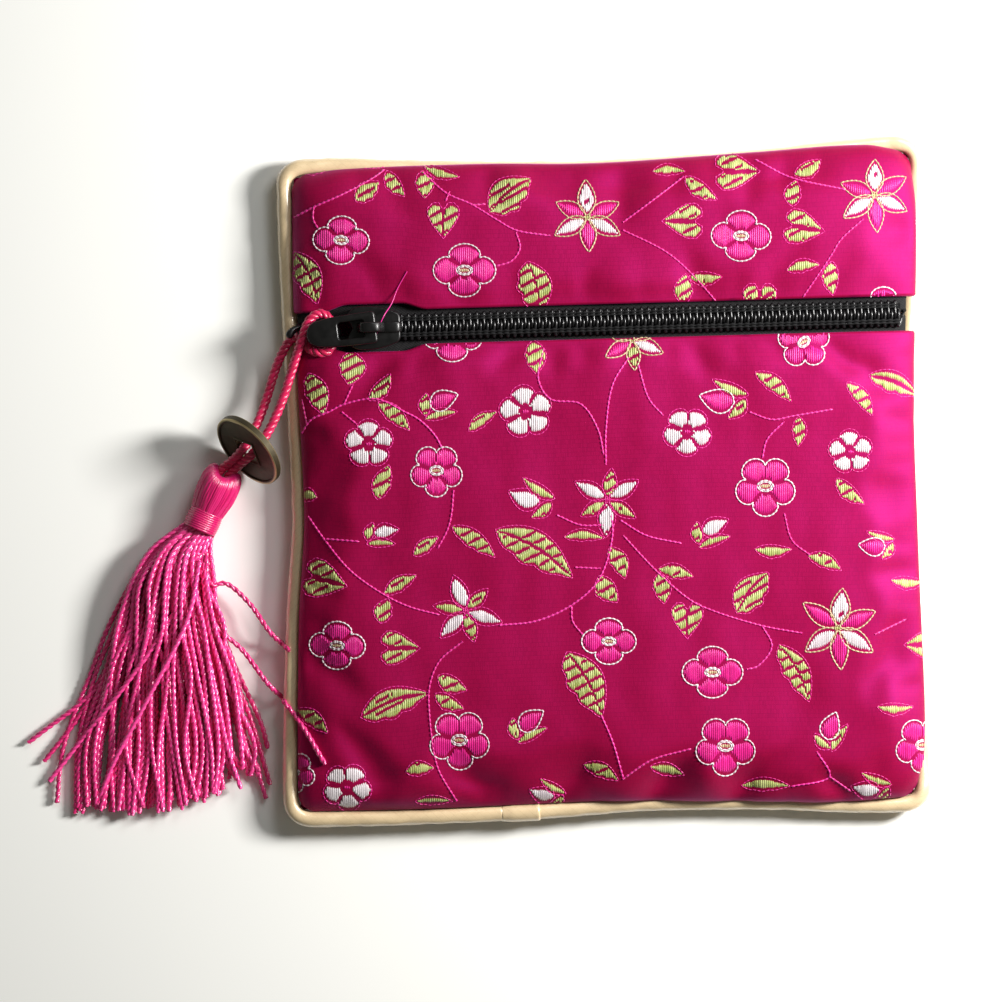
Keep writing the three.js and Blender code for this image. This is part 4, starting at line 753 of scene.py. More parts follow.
STEMS = [
    [(-54.4, 46.3), (-50.9, 48.0), (-45.6, 50.3), (-40.3, 53.3), (-38.5, 54.7)],
    [(-50.9, 48.0), (-51.0, 45.9), (-50.0, 44.0)],
    [(-31.7, 54.0), (-27.6, 50.3), (-23.4, 48.4), (-18.8, 45.6), (-15.5, 43.8), (-9.5, 42.8)],
    [(-15.5, 43.5), (-14.8, 40.7), (-16.2, 38.5), (-19.0, 37.5)],
    [(-27.1, 50.7), (-27.8, 48.9)],
    [(-23.4, 48.2), (-20.8, 48.4)],
    [(3.2, 45.2), (8.1, 48.8), (13.9, 53.3)],
    [(3.2, 43.8), (10.7, 40.0), (15.1, 36.3), (19.7, 31.2)],
    [(26.4, 56.3), (32.9, 53.0), (42.1, 50.9)],
    [(45.2, 45.8), (41.2, 42.1), (39.8, 39.8), (37.7, 36.6), (34.5, 31.9)],
    [(4.2, 21.6), (1.4, 16.9), (0.2, 9.0), (0.2, 2.8)],
    [(5.8, 20.4), (7.7, 14.3), (10.2, 11.4)],
    [(-10.7, 23.1), (-11.6, 17.8), (-9.5, 14.3), (-4.2, 13.4), (-1.2, 9.0), (-0.2, 4.6)],
    [(-53.0, 8.4), (-51.4, 10.7), (-48.2, 12.1), (-45.6, 13.4), (-39.8, 14.3), (-35.0, 12.1),
     (-32.4, 10.7), (-29.6, 7.9), (-28.3, 5.5)],
    [(-45.6, 13.4), (-44.0, 16.9)],
    [(-45.9, 12.0), (-43.3, 9.9)],
    [(-53.0, 14.3), (-52.1, 9.9)],
    [(25.3, 12.0), (29.2, 10.7), (32.7, 11.3), (39.8, 12.5)],
    [(31.3, 10.4), (28.3, 7.2), (27.5, 4.0)],
    [(-26.4, -1.6), (-26.8, -6.0), (-27.5, -8.6), (-29.2, -11.8)],
    [(-51.9, -6.2), (-48.9, -10.4), (-44.4, -15.7), (-38.5, -19.9), (-34.1, -22.0), (-28.9, -23.4)],
    [(-48.6, -10.2), (-42.9, -10.6)],
    [(-18.3, -25.2), (-12.1, -24.5), (-6.0, -21.8), (-1.6, -18.0), (0.4, -13.9), (1.4, -8.6), (1.1, -6.0)],
    [(-5.8, -21.8), (-5.6, -24.5), (-3.9, -26.8)],
    [(-24.8, -28.0), (-28.9, -31.5), (-30.6, -35.9), (-30.6, -41.2), (-29.7, -48.2), (-28.9, -50.9),
     (-25.9, -56.1)],
    [(-8.3, -6.0), (-4.2, -7.7), (-0.2, -7.7)],
    [(-5.1, -15.1), (-0.7, -15.3)],
    [(-0.7, -40.7), (1.4, -45.6), (3.2, -51.7)],
    [(3.2, -52.1), (8.1, -48.8), (15.1, -46.8)],
    [(2.8, -6.9), (7.2, -9.5), (13.4, -10.9)],
    [(3.2, -9.5), (9.0, -15.7), (15.1, -20.9), (19.0, -22.7), (27.5, -25.3), (34.5, -26.6)],
    [(27.5, -25.3), (29.2, -28.9), (26.6, -32.4), (24.8, -32.9)],
    [(31.3, -5.6), (32.7, -10.4), (35.9, -13.0)],
    [(47.2, -26.8), (53.0, -24.1)],
    [(37.1, -47.3), (39.4, -51.7), (32.7, -53.5)],
    [(39.4, -51.7), (43.3, -54.4)],
]
chance = random.Random(11)


def turned_to(points, turn, across, up):
    """Points turned by an angle in degrees and moved to a place on the cloth."""
    c, s = math.cos(math.radians(turn)), math.sin(math.radians(turn))
    points = np.asarray(points, float)
    return np.column_stack([across + points[:, 0] * c - points[:, 1] * s,
                            up + points[:, 0] * s + points[:, 1] * c])


def oval(x, y, long, wide):
    angle = np.linspace(0, 2 * math.pi, 20, endpoint=False)
    return np.column_stack([x + long / 2 * np.cos(angle), y + wide / 2 * np.sin(angle)])


def blade(start, length, width, bend=0.0, teeth=0.0, fullness=0.85):
    """A pointed petal or leaf along X, as its upper and lower edges from base to tip."""
    s = np.linspace(0, 1, 17)
    half = width / 2 * np.sin(math.pi * s ** fullness) ** 0.85
    line = bend * np.sin(math.pi * s)
    ragged = 1 + teeth * np.abs(np.sin(3.5 * math.pi * s))
    x = start + length * s
    return np.column_stack([x, line + half]), np.column_stack([x, line - half * ragged]), np.column_stack([x, line])


def closed(upper, lower):
    return np.vstack([lower, upper[::-1]])


def scallops(size, petals, cusp):
    """A flower's outline, with a round lobe for each petal."""
    angle = np.linspace(0, 2 * math.pi, 24 * petals, endpoint=False)
    lobe = np.abs(np.cos(petals * angle / 2)) ** 0.55
    reach = size / 2 * (cusp + (1 - cusp) * lobe)
    return np.column_stack([reach * np.cos(angle), reach * np.sin(angle)])


def lobe(size, petals, cusp, gap):
    """One petal of such a flower, pointing along X, with a gap in radians to its neighbours."""
    angle = np.linspace(gap - math.pi / petals, math.pi / petals - gap, 17)
    reach = size / 2 * (cusp + (1 - cusp) * np.abs(np.cos(petals * angle / 2)) ** 0.55)
    outer = np.column_stack([reach * np.cos(angle), reach * np.sin(angle)])
    return np.vstack([outer, outer[::-4] * 0.29 / (cusp + (1 - cusp))])


def heart(size):
    half = np.array([(0.5, 0), (0.33, 0.14), (0.12, 0.3), (-0.1, 0.41), (-0.32, 0.42), (-0.46, 0.28),
                     (-0.46, 0.12), (-0.3, 0.03)]) * size
    return half


def motif(kind, size, extra):
    """A motif's filled shapes and outlines about its own middle: lists of colour letter and points."""
    fills, lines = [], []
    squash = (0.85, 1) if kind == "rose" and extra == 4 else (1, 1)
    if kind == "rose":
        fills += [("r", turned_to(lobe(size - 0.62, extra, 0.66, 0.06), 360 * k / extra, 0, 0)) for k in range(extra)]
        lines.append(("w", scallops(size, extra, 0.66)))
        fills.append(("o", oval(0, 0, size * 0.1, size * 0.17)))
        lines += [("w", oval(0, 0, size * 0.13, size * 0.2)), ("w", oval(0, 0, size * 0.18, size * 0.26))]
    if kind == "blossom":
        fills += [("w", turned_to(lobe(size, extra, 0.74, 0.09), 360 * k / extra, 0, 0)) for k in range(extra)]
        lines.append(("p", scallops(size * 1.08, extra, 0.72)))
        fills.append(("r", oval(0, 0, size * 0.12, size * 0.12)))
    if kind in ("star", "lily"):
        for k, colour in enumerate(extra):
            long = size * (0.98 if colour != "g" else 0.86) * chance.uniform(0.93, 1.05)
            wide = size * {"w": 0.42, "r": 0.37, "g": 0.33}[colour]
            turn = 360 * k / len(extra) + chance.uniform(-7, 7)
            upper, lower, _ = blade(size * 0.1, long - size * 0.1, wide)
            fills.append((colour, turned_to(closed(upper, lower) * (1, 0.9), turn, 0, 0)))
            upper, lower, _ = blade(size * 0.06, long, wide + 0.5)
            lines.append(("o" if kind == "star" else "p", turned_to(closed(upper, lower), turn, 0, 0)))
        fills.append(("g" if kind == "star" else "r", oval(0, 0, size * 0.16, size * 0.16)))
    if kind == "bud":
        upper, lower, _ = blade(-0.12 * size, 0.62 * size, 0.36 * size, 0.03 * size, fullness=0.7)
        fills.append((extra, closed(upper, lower)))
        upper, lower, _ = blade(-0.14 * size, 0.68 * size, 0.46 * size, 0.03 * size, fullness=0.7)
        lines.append(("w" if extra == "r" else "p", closed(upper, lower)))
        for turn, x, y, long, wide in ((62, -0.33, -0.12, 0.5, 0.21), (-12, -0.36, -0.2, 0.72, 0.2)):
            upper, lower, _ = blade(0, long * size, wide * size, 0.04 * size)
            fills.append(("g", turned_to(closed(upper, lower), turn, x * size, y * size)))
            upper, lower, _ = blade(-0.02 * size, long * size * 1.06, wide * size * 1.35, 0.04 * size)
            lines.append(("p", turned_to(closed(upper, lower), turn, x * size, y * size)))
    if kind == "leaf":
        bend = chance.choice((-0.06, 0.05, 0.08)) * size
        upper, lower, _ = blade(-size / 2, size, extra, bend, 0.25)
        fills.append(("g", closed(upper, lower)))
        upper, lower, _ = blade(-size * 0.52, size * 1.04, extra + 0.5, bend, 0.2)
        lines.append(("p", closed(upper, lower)))
    if kind == "broad leaf":
        upper, lower, vein = blade(-size / 2, size, extra, 0.07 * size, 0.3)
        gap = 0.16 * np.sin(math.pi * np.linspace(0, 1, len(vein)))[:, None] * (0, 1)
        fills.append(("g", closed(upper, vein + gap)))
        fills.append(("g", closed(vein - gap, lower)))
        upper, lower, _ = blade(-size * 0.515, size * 1.03, extra + 0.55, 0.07 * size, 0.28)
        lines.append(("p", closed(upper, lower)))
    if kind == "heart leaf":
        half = heart(size)
        for hand in (1, -1):
            side = half * (1, hand) + (0, hand * 0.12)
            fills.append(("g", side))
        rim = np.vstack([half, (half * (1, -1))[::-1]]) * 1.1
        lines.append(("p", rim))
    return [(colour, line * squash) for colour, line in fills], [(colour, line * squash) for colour, line in lines]


def hatched(outline, pitch, longest):
    """Runs up the cloth inside an outline, broken where the weave binds a longer float down."""
    found = []
    low, high = outline[:, 0].min(), outline[:, 0].max()
    following = np.roll(outline, -1, axis=0)
    columns_in = np.arange(low + pitch * 0.45, high, pitch)
    for x in columns_in:
        crosses = (outline[:, 0] <= x) != (following[:, 0] <= x)
        a, b = outline[crosses], following[crosses]
        ys = np.sort(a[:, 1] + (b[:, 1] - a[:, 1]) * (x - a[:, 0]) / (b[:, 0] - a[:, 0]))
        for start, end in zip(ys[::2], ys[1::2]):
            start += chance.uniform(-0.07, 0.05)
            end += chance.uniform(-0.05, 0.07)
            cut = start - (start - 0.55 * x) % longest + longest
            while cut < end - 0.2 and end - start > longest:
                bound = cut + chance.uniform(-0.1, 0.1)
                if bound - start > 0.3:
                    found.append((x, start, bound - 0.09))
                    start = bound + 0.09
                cut += longest
            if end - start > 0.25:
                found.append((x, start, end))
    return found


def stitched(points, is_closed, pitch=0.26):
    """A fine backstitched line: points along it and the swell of the thread at each."""
    points = np.vstack([points, points[:1]]) if is_closed else np.asarray(points, float)
    flat = np.column_stack([points, np.zeros(len(points))])
    line = smooth_line(flat, pitch) if not is_closed else resampled(flat, pitch)
    phase = chance.randrange(3)
    beat = (np.arange(len(line)) + phase) % 3
    return line[:, :2], np.where(beat == 0, 0.6, 1.0), np.where(beat == 0, -0.07, 0.03)


def resampled(line, pitch):
    run = run_along(line)
    steps = np.linspace(0, run[-1], max(3, round(run[-1] / pitch) + 1))
    return np.column_stack([np.interp(steps, run, line[:, k]) for k in range(line.shape[1])])


def onto_cloth(side, places, lifts, from_above):
    """Points raised or lowered onto the cloth, and a little over it, or None where there is none."""
    reach = 60.0 if from_above else -60.0
    ahead = Vector((0, 0, -1 if from_above else 1))
    found = []
    for (x, y), lift in zip(places, lifts):
        hit, normal, _, _ = side.ray_cast(Vector((x, y, reach)), ahead)
        if hit is None or abs(normal.z) < 0.25:
            found.append(None)
        else:
            found.append(hit + normal * lift)
    return found


def whole_runs(points, swells, shade):
    """A line cut where it leaves the cloth or jumps from one panel to the next."""
    runs, run = [], []
    for point, swell in zip(points, swells):
        if point is None or (run and (point - run[-1][0]).length > 1.6):
            if len(run) > 1:
                runs.append(run)
            run = []
        if point is not None:
            run.append((point, swell))
    if len(run) > 1:
        runs.append(run)
    return [(np.array([p for p, _ in run]), np.array([s for _, s in run]), shade) for run in runs]


def weave_pattern(side, from_above, moved):
    """All the pattern's floats on one face of the pouch, sorted by colour letter."""
    floats = {colour: [] for colour in "rwgo"}
    fine = {colour: [] for colour in "wop"}
    for kind, places in MOTIFS.items():
        for across, up, size, extra, turn in places:
            fills, lines = motif(kind, size, extra)
            across, up = moved(across, up)
            for colour, outline in fills:
                placed = turned_to(outline, turn, across, up)
                for x, start, end in hatched(placed, FLOAT_PITCH, LONGEST_FLOATS[colour]):
                    count = max(3, math.ceil((end - start) / 0.8) + 1)
                    ys = np.linspace(start, end, count)
                    lifts = [-0.2, *[-0.07] * (count - 2), -0.2]
                    swells = [0.5, *[1.0] * (count - 2), 0.5]
                    points = onto_cloth(side, [(x, y) for y in ys], lifts, from_above)
                    floats[colour] += whole_runs(points, swells, chance.uniform(0.15, 0.85))
            for colour, outline in lines:
                places_on, swells, lifts = stitched(turned_to(outline, turn, across, up), True)
                swells = swells * (0.62 if colour == "p" else 1.0)
                points = onto_cloth(side, places_on, lifts, from_above)
                fine[colour] += whole_runs(points, swells, chance.uniform(0.3, 0.8))
    for stem in STEMS:
        stem = [moved(x, y) for x, y in stem]
        if max(abs(a[0] - b[0]) + abs(a[1] - b[1]) for a, b in zip(stem, stem[1:])) < 25:
            places_on, swells, lifts = stitched(stem, False, 0.28)
            points = onto_cloth(side, places_on, lifts, from_above)
            fine["p"] += whole_runs(points, 1.35 * swells, chance.uniform(0.3, 0.8))
    return floats, fine


def next_repeat(x, y):
    """A place on the back, where the cloth's pattern has run on from the front's."""
    return (-x + 31 + 57) % 114 - 57, (y + 24 + 59) % 118 - 59


weft_silks = {
    "r": silk_thread("rose weft", (0.46, 0.006, 0.14), (0.78, 0.022, 0.28), Roughness=0.34,
                     Specular_IOR_Level=0.6, Specular_Tint=(1, 0.5, 0.9, 1), Sheen_Weight=0.3,
                     Sheen_Tint=(1, 0.3, 0.8, 1)),
    "w": silk_thread("white weft", (0.50, 0.42, 0.45), (0.80, 0.75, 0.77), Roughness=0.38,
                     Sheen_Weight=0.3, Sheen_Tint=(1, 0.95, 1, 1)),
    "g": silk_thread("leaf weft", (0.27, 0.31, 0.06), (0.56, 0.60, 0.24), Roughness=0.4,
                     Sheen_Weight=0.25, Sheen_Tint=(0.9, 1, 0.6, 1)),
    "o": silk_thread("gold weft", (0.34, 0.22, 0.10), (0.66, 0.54, 0.34), Roughness=0.32,
                     Sheen_Weight=0.2, Sheen_Tint=(1, 0.9, 0.6, 1)),
}
weft_silks["p"] = silk_thread("stem weft", (0.55, 0.010, 0.17), (0.82, 0.035, 0.34), Roughness=0.34,
                              Sheen_Weight=0.3, Sheen_Tint=(1, 0.3, 0.7, 1))
COLOUR_NAMES = {"r": "rose", "w": "white", "g": "leaf", "o": "gold", "p": "stem"}
for face_name, side, from_above, moved in (("front", front_side, True, lambda x, y: (x, y)),
                                           ("back", back_side, False, next_repeat)):
    floats, fine = weave_pattern(side, from_above, moved)
    for what, radius, sides, groups in (("floats", FLOAT_RADIUS, 5, floats), ("lines", LINE_RADIUS, 4, fine)):
        for colour, lines in groups.items():
            if lines:
                thin = STEM_RADIUS if colour == "p" else radius
                woven = lay_threads(f"{face_name}_{COLOUR_NAMES[colour]}_{what}", lines, thin, sides,
                                    weft_silks[colour])
                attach(woven, "root")

# ---- Piping
# A cord covered with a bias strip of gold satin, sewn into the seam all round. Its ends meet under a
# folded sleeve of the same strip, near the left of the bottom seam.
PIPING_SIDES = 18
JOIN_FROM_LEFT = 41.9
JOIN_LENGTH = 6.8
JOIN_SWELL = 0.5

piping_satin = satin_cloth("piping satin", (0.36, 0.23, 0.10), (0.80, 0.62, 0.38), 0.16, 1.1, 0.8, 0.015, 0.85,
                           Roughness=0.3, Specular_IOR_Level=1.0, Coat_Weight=1.0, Coat_Roughness=0.18,
                           Sheen_Weight=0.15, Sheen_Roughness=0.3,
                           Sheen_Tint=(1, 0.9, 0.7, 1))


def piping_line():
    """The piping's middle line, once round from the end of the bottom left corner's turn."""
    inset = PIPING_DIAMETER / 2
    line = []
    for side in range(4):
        following = (side + 1) % 4
        length = np.linalg.norm(corner_at(side + 1, inset) - corner_at(side, inset))
        next_length = np.linalg.norm(corner_at(side + 2, inset) - corner_at(side + 1, inset))
        start = (CORNER_RADII[side] - inset) / length
        end = 1 - (CORNER_RADII[following] - inset) / length
        along = np.linspace(start, end, 60)
        point = side_point(side, along, inset, inset)
        line += np.column_stack([point, piping_height(roll_at(side, along))]).tolist()
        a, bend = point[-1], corner_at(side + 1, inset)
        b = side_point(following, np.array([(1 - end) * length / next_length]), inset, inset)[0]
        for t in np.linspace(0, 1, 9)[1:-1]:
            turn = (1 - t) ** 2 * a + 2 * t * (1 - t) * bend + t * t * b
            line.append([turn[0], turn[1], piping_height(0)])
    line.append(line[0])
    return resampled(np.array(line), 0.7)


def tube(name, line, radii, sides, finish, wrinkle=0.0, seed=0.0):
    """A closed round tube along a line, with its cover's small wrinkles, and its place on the cover."""
    ahead = np.gradient(line, axis=0)
    ahead /= np.linalg.norm(ahead, axis=1)[:, None]
    across = np.cross((0, 0, 1.0), ahead)
    across /= np.linalg.norm(across, axis=1)[:, None]
    over = np.cross(ahead, across)
    run = run_along(line)
    angle = np.linspace(0, 2 * math.pi, sides, endpoint=False)
    reach = np.repeat(np.asarray(radii, float)[:, None], sides, axis=1)
    if wrinkle:
        reach = reach + np.array([[wrinkle * noise.noise(Vector((r * 0.35 + a * 0.9 + seed, math.cos(a) * 1.2, math.sin(a) * 1.2 + r * 0.05)))
                                   for a in angle] for r in run])
    verts = (line[:, None] + reach[..., None] * (np.cos(angle)[None, :, None] * across[:, None]
                                                 + np.sin(angle)[None, :, None] * over[:, None])).reshape(-1, 3)
    verts = np.vstack([verts, line[:1], line[-1:]])
    n = len(line)
    faces, places = [], []
    for r in range(n - 1):
        for k in range(sides):
            m = (k + 1) % sides
            faces.append((r * sides + k, r * sides + m, (r + 1) * sides + m, (r + 1) * sides + k))
            low, high = angle[k] * radii[r], angle[k] * radii[r] + 2 * math.pi / sides * radii[r]
            places += [(run[r], low), (run[r], high), (run[r + 1], high), (run[r + 1], low)]
    for k in range(sides):
        m = (k + 1) % sides
        faces.append((m, k, n * sides))
        faces.append(((n - 1) * sides + k, (n - 1) * sides + m, n * sides + 1))
        places += [(0, 0), (0, 0.5), (0.3, 0.2)] * 2
    mesh = bpy.data.meshes.new(name)
    mesh.from_pydata((verts * MM).tolist(), [], faces)
    mesh.uv_layers.new(name="cover").data.foreach_set("uv", (np.array(places) * MM).astype(np.float32).ravel())
    mesh.materials.append(finish)
    mesh.polygons.foreach_set("use_smooth", [True] * len(faces))
    piece = bpy.data.objects.new(name, mesh)
    bpy.context.scene.collection.objects.link(piece)
    return piece


whole_loop = piping_line()
loop_run = run_along(whole_loop)
join_at = JOIN_FROM_LEFT - CORNER_RADII[0]


def piping_stretch(start, end, pitch):
    """A stretch of the loop between two distances from its start."""
    steps = np.linspace(start, end, max(2, round((end - start) / pitch)))
    around = np.mod(steps, loop_run[-1])
    return np.column_stack([np.interp(around, loop_run, whole_loop[:, k]) for k in range(3)])


bead_line = piping_stretch(join_at + JOIN_LENGTH / 2 - 0.6, join_at + loop_run[-1] - JOIN_LENGTH / 2 + 0.6, 0.8)
bead = tube("piping_bead", bead_line, np.full(len(bead_line), PIPING_DIAMETER / 2), PIPING_SIDES, piping_satin, 0.16)
sleeve_line = piping_stretch(join_at - JOIN_LENGTH / 2, join_at + JOIN_LENGTH / 2, 0.25)
share = np.linspace(0, 1, len(sleeve_line))
sleeve_radii = PIPING_DIAMETER / 2 + 0.06 + JOIN_SWELL / 2 * smoothstep(share * 3) * (1 - 0.5 * (1 - share))
sleeve_radii[0] -= 0.1
sleeve_radii[-1] -= 0.12
sleeve = tube("piping_sleeve", sleeve_line, sleeve_radii, PIPING_SIDES, piping_satin, 0.1, 5.0)
for piece, node in ((bead, "piping"), (sleeve, "piping_join")):
    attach(piece, "root")
    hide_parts(node)

# ---- Zip
# A black nylon coil zip. The two woven tapes lie under the panels' folded edges, a coil of nylon wire
# is sewn to each, and their loops lock in the middle.
TAPE_WALL = 0.6
TAPE_WIDTH = 9
TAPE_HALF_GAP = 0.4
TAPE_END_INSET = 0.1
TOOTH_PITCH = 1.2
COIL_OUTER = 2.15
COIL_INNER = -0.62
COIL_HALF_HEIGHT = 0.5
WIRE_RADIUS = 0.3
WEDGE_WIDTH = 1.5

zip_cloth = satin_cloth("zip tape twill", (0.002, 0.002, 0.0025), (0.011, 0.010, 0.011), 0.35, 0.9, 0.6, 0.06, 0.2,
                        Roughness=0.8, Specular_IOR_Level=0.3)
zip_nylon, tree, shader = new_finish("zip nylon", Roughness=0.26, Specular_IOR_Level=0.45)
place = add_node(tree, "ShaderNodeTexCoord")
worn = add_node(tree, "ShaderNodeTexNoise", Vector=place.outputs["Object"], Scale=900.0, Detail=3.0)
tone = add_node(tree, "ShaderNodeValToRGB", Fac=worn.outputs["Fac"])
tone.color_ramp.elements[0].color = (0.002, 0.002, 0.0025, 1)
tone.color_ramp.elements[1].color = (0.010, 0.009, 0.010, 1)
tree.links.new(tone.outputs["Color"], shader.inputs["Base Color"])

ZIP_LEFT, ZIP_RIGHT = zip_mid[0, 0] + TAPE_END_INSET, zip_mid[-1, 0] - TAPE_END_INSET


def zip_spread(x):
    """How far the two tapes are held apart by the slider's wedge."""
    opened = smoothstep((SLIDER_X + SLIDER_LENGTH * 0.2 - x) / (SLIDER_LENGTH * 0.45))
    closing = smoothstep((x - ZIP_LEFT) / (SLIDER_X - SLIDER_LENGTH / 2 - ZIP_LEFT))
    return (WEDGE_WIDTH / 2 + FIT_GAP) * opened * closing


def zip_middle(x):
    """The cloth's middle over the zip's line."""
    return np.column_stack([x, np.interp(x, zip_mid[:, 0], zip_mid[:, 1]), np.interp(x, zip_mid[:, 0], zip_mid[:, 2])])


coil_level = -CLOTH_WALL / 2 - FIT_GAP + 0.15 + 0.75
for hand, name in ((1, "upper"), (-1, "lower")):
    x = np.linspace(ZIP_LEFT, ZIP_RIGHT, 150)
    u = np.interp(x, zip_mid[:, 0], zip_u)
    rows_across = []
    for share in np.linspace(0, 1, 12):
        inner = TAPE_HALF_GAP + zip_spread(x)
        rows_across.append(front_point(u, crossing_v(u, hand * (inner + (TAPE_WIDTH - inner) * share))))
    grid = np.array(rows_across if hand > 0 else rows_across[::-1])
    tape, _, _ = wall_of_cloth(f"zip_{name}_tape", grid, TAPE_WALL, 0.2, zip_cloth,
                               CLOTH_WALL / 2 + FIT_GAP + TAPE_WALL / 2)
    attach(tape, "root")
    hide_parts(f"zip_tape_{name}")
    start = SLIDER_X - SLIDER_LENGTH * 0.3 + (0.5 * TOOTH_PITCH if hand < 0 else 0)
    turns = int((ZIP_RIGHT - 0.2 - start) / TOOTH_PITCH)
    angle = np.linspace(0, 2 * math.pi * turns, 14 * turns + 1)
    x = start + TOOTH_PITCH * (angle / (2 * math.pi) + 0.25 * np.cos(angle))
    centre = zip_middle(x)
    swing = np.sign(np.cos(angle)) * np.abs(np.cos(angle)) ** 0.8
    lift = np.sign(np.sin(angle)) * np.abs(np.sin(angle)) ** 0.6
    centre[:, 1] += hand * ((COIL_OUTER + COIL_INNER) / 2 + zip_spread(x) - swing * (COIL_OUTER - COIL_INNER) / 2)
    arch = np.where(lift > 0, 0.35 + 0.75 * np.exp(-((swing - 0.45) / 0.42) ** 2), 0.8)
    centre[:, 2] += coil_level + COIL_HALF_HEIGHT * arch * lift
    coil = lay_threads(f"zip_{name}_coil", [(centre, np.where(swing > 0.75, 1.2, 1.0), 0.5)], WIRE_RADIUS, 7, zip_nylon)
    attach(coil, "root")
    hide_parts(f"zip_coil_{name}")
    rows_sewn = []
    for out in (1.15, 1.6):
        x = np.arange(start, ZIP_RIGHT - 0.8, TOOTH_PITCH / 4)
        beat = np.cos(2 * math.pi * (x - start) / TOOTH_PITCH)
        sewn = zip_middle(x)
        sewn[:, 1] += hand * (out + zip_spread(x)) + 0.06 * beat
        sewn[:, 2] += coil_level + 0.42 + 0.07 * beat
        rows_sewn.append((sewn, 1 + 0.2 * beat, 0.5))
    sewing = lay_threads(f"zip_{name}_sewing", rows_sewn, 0.2, 6, zip_cloth)
    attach(sewing, "root")

seam_left = zip_mid[0]
tail_line = smooth_line([(seam_left[0] - out, seam_left[1] + up, seam_left[2] + lift) for out, up, lift in
                         ((-1.2, 0.6, 1.8), (-0.3, 0.5, 2.9), (0.7, 0.1, 3.5), (1.4, -0.6, 3.65), (1.6, -1.4, 3.6))], 0.2)
tail_radii = 0.7 * (1 + 0.12 * np.sin(np.linspace(0, 9, len(tail_line))))
tail_radii[-3:] *= (0.95, 0.8, 0.5)
tail = tube("zip_melted_end", tail_line, tail_radii, 14, zip_nylon, 0.2, 9.0)
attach(tail, "root")
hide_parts("zip_tail")

# ---- Slider and pull tab
# Cast zinc, painted black. The slider is two plates joined by a wedge, with a bridge over the tab's
# bar, and the tab lies along the zip with the cord round its tip.
PLATE = 0.9
TAB_LENGTH, TAB_WIDTH, TAB_TIP, TAB_THICKNESS, TAB_BAR = 12.3, 5.6, 4.6, 1.1, 2.1
TAB_YAW, TAB_TILT = math.radians(5.4), math.radians(3)
WINDOW_LENGTH, WINDOW_WIDTH = 4.6, 3.0
BRIDGE_X, BRIDGE_WIDTH, BRIDGE_WALL = -0.5, 1.8, 0.9
SLIDER_NARROW = 5.6

black_enamel, tree, shader = new_finish("black enamel", Roughness=0.3, Specular_IOR_Level=0.35, Coat_Weight=0.12,
                                        Coat_Roughness=0.14)
place = add_node(tree, "ShaderNodeTexCoord")
cast = add_node(tree, "ShaderNodeTexNoise", Vector=place.outputs["Object"], Scale=700.0, Detail=4.0)
fine_cast = add_node(tree, "ShaderNodeTexNoise", Vector=place.outputs["Object"], Scale=2600.0, Detail=2.0)
tone = add_node(tree, "ShaderNodeValToRGB", Fac=cast.outputs["Fac"])
tone.color_ramp.elements[0].color = (0.002, 0.002, 0.0022, 1)
tone.color_ramp.elements[1].color = (0.008, 0.0075, 0.0075, 1)
gloss = add_node(tree, "ShaderNodeMapRange", Value=cast.outputs["Fac"], To_Min=0.24, To_Max=0.5)
raised = add_node(tree, "ShaderNodeBump", Height=fine_cast.outputs["Fac"], Distance=0.02 * MM, Strength=0.5)
tree.links.new(tone.outputs["Color"], shader.inputs["Base Color"])
tree.links.new(gloss.outputs["Result"], shader.inputs["Roughness"])
tree.links.new(raised.outputs["Normal"], shader.inputs["Normal"])


def cast_plate(outlines, thickness, bevel):
    """A plate with rounded edges from an outline and its holes, about its own middle height."""
    curve = bpy.data.curves.new("plate", "CURVE")
    curve.dimensions = "2D"
    curve.fill_mode = "BOTH"
    curve.extrude = (thickness / 2 - bevel) * MM
    curve.bevel_depth = bevel * MM
    curve.bevel_resolution = 3
    curve.offset = -bevel * MM
    for outline in outlines:
        spline = curve.splines.new("POLY")
        spline.points.add(len(outline) - 1)
        for point, (x, y) in zip(spline.points, outline):
            point.co = (x * MM, y * MM, 0, 1)
        spline.use_cyclic_u = True
    holder = bpy.data.objects.new("plate", curve)
    bpy.context.scene.collection.objects.link(holder)
    graph = bpy.context.evaluated_depsgraph_get()
    mesh = bpy.data.meshes.new_from_object(holder.evaluated_get(graph), depsgraph=graph)
    bpy.data.objects.remove(holder)
    return mesh


def joined_cast(name, parts, finish):
    """One cast piece from meshes and the matrices that place them, in metres, with faces outwards."""
    whole = bmesh.new()
    for mesh, matrix in parts:
        piece = bmesh.new()
        piece.from_mesh(mesh)
        bmesh.ops.remove_doubles(piece, verts=piece.verts, dist=1e-7)
        bmesh.ops.transform(piece, matrix=matrix, verts=piece.verts)
        bmesh.ops.recalc_face_normals(piece, faces=piece.faces)
        if piece.calc_volume(signed=True) < 0:
            bmesh.ops.reverse_faces(piece, faces=piece.faces)
        placed = bpy.data.meshes.new("placed")
        piece.to_mesh(placed)
        piece.free()
        whole.from_mesh(placed)
    mesh = bpy.data.meshes.new(name)
    whole.to_mesh(mesh)
    whole.free()
    mesh.materials.clear()
    mesh.materials.append(finish)
    mesh.polygons.foreach_set("material_index", [0] * len(mesh.polygons))
    mesh.shade_smooth()
    mesh.set_sharp_from_angle(angle=math.radians(50))
    piece = bpy.data.objects.new(name, mesh)
    bpy.context.scene.collection.objects.link(piece)
    return piece


def quad_curve(a, control, b, count=6):
    t = np.linspace(0, 1, count + 1)[1:, None]
    return ((1 - t) ** 2 * a + 2 * t * (1 - t) * np.array(control) + t * t * np.array(b)).tolist()


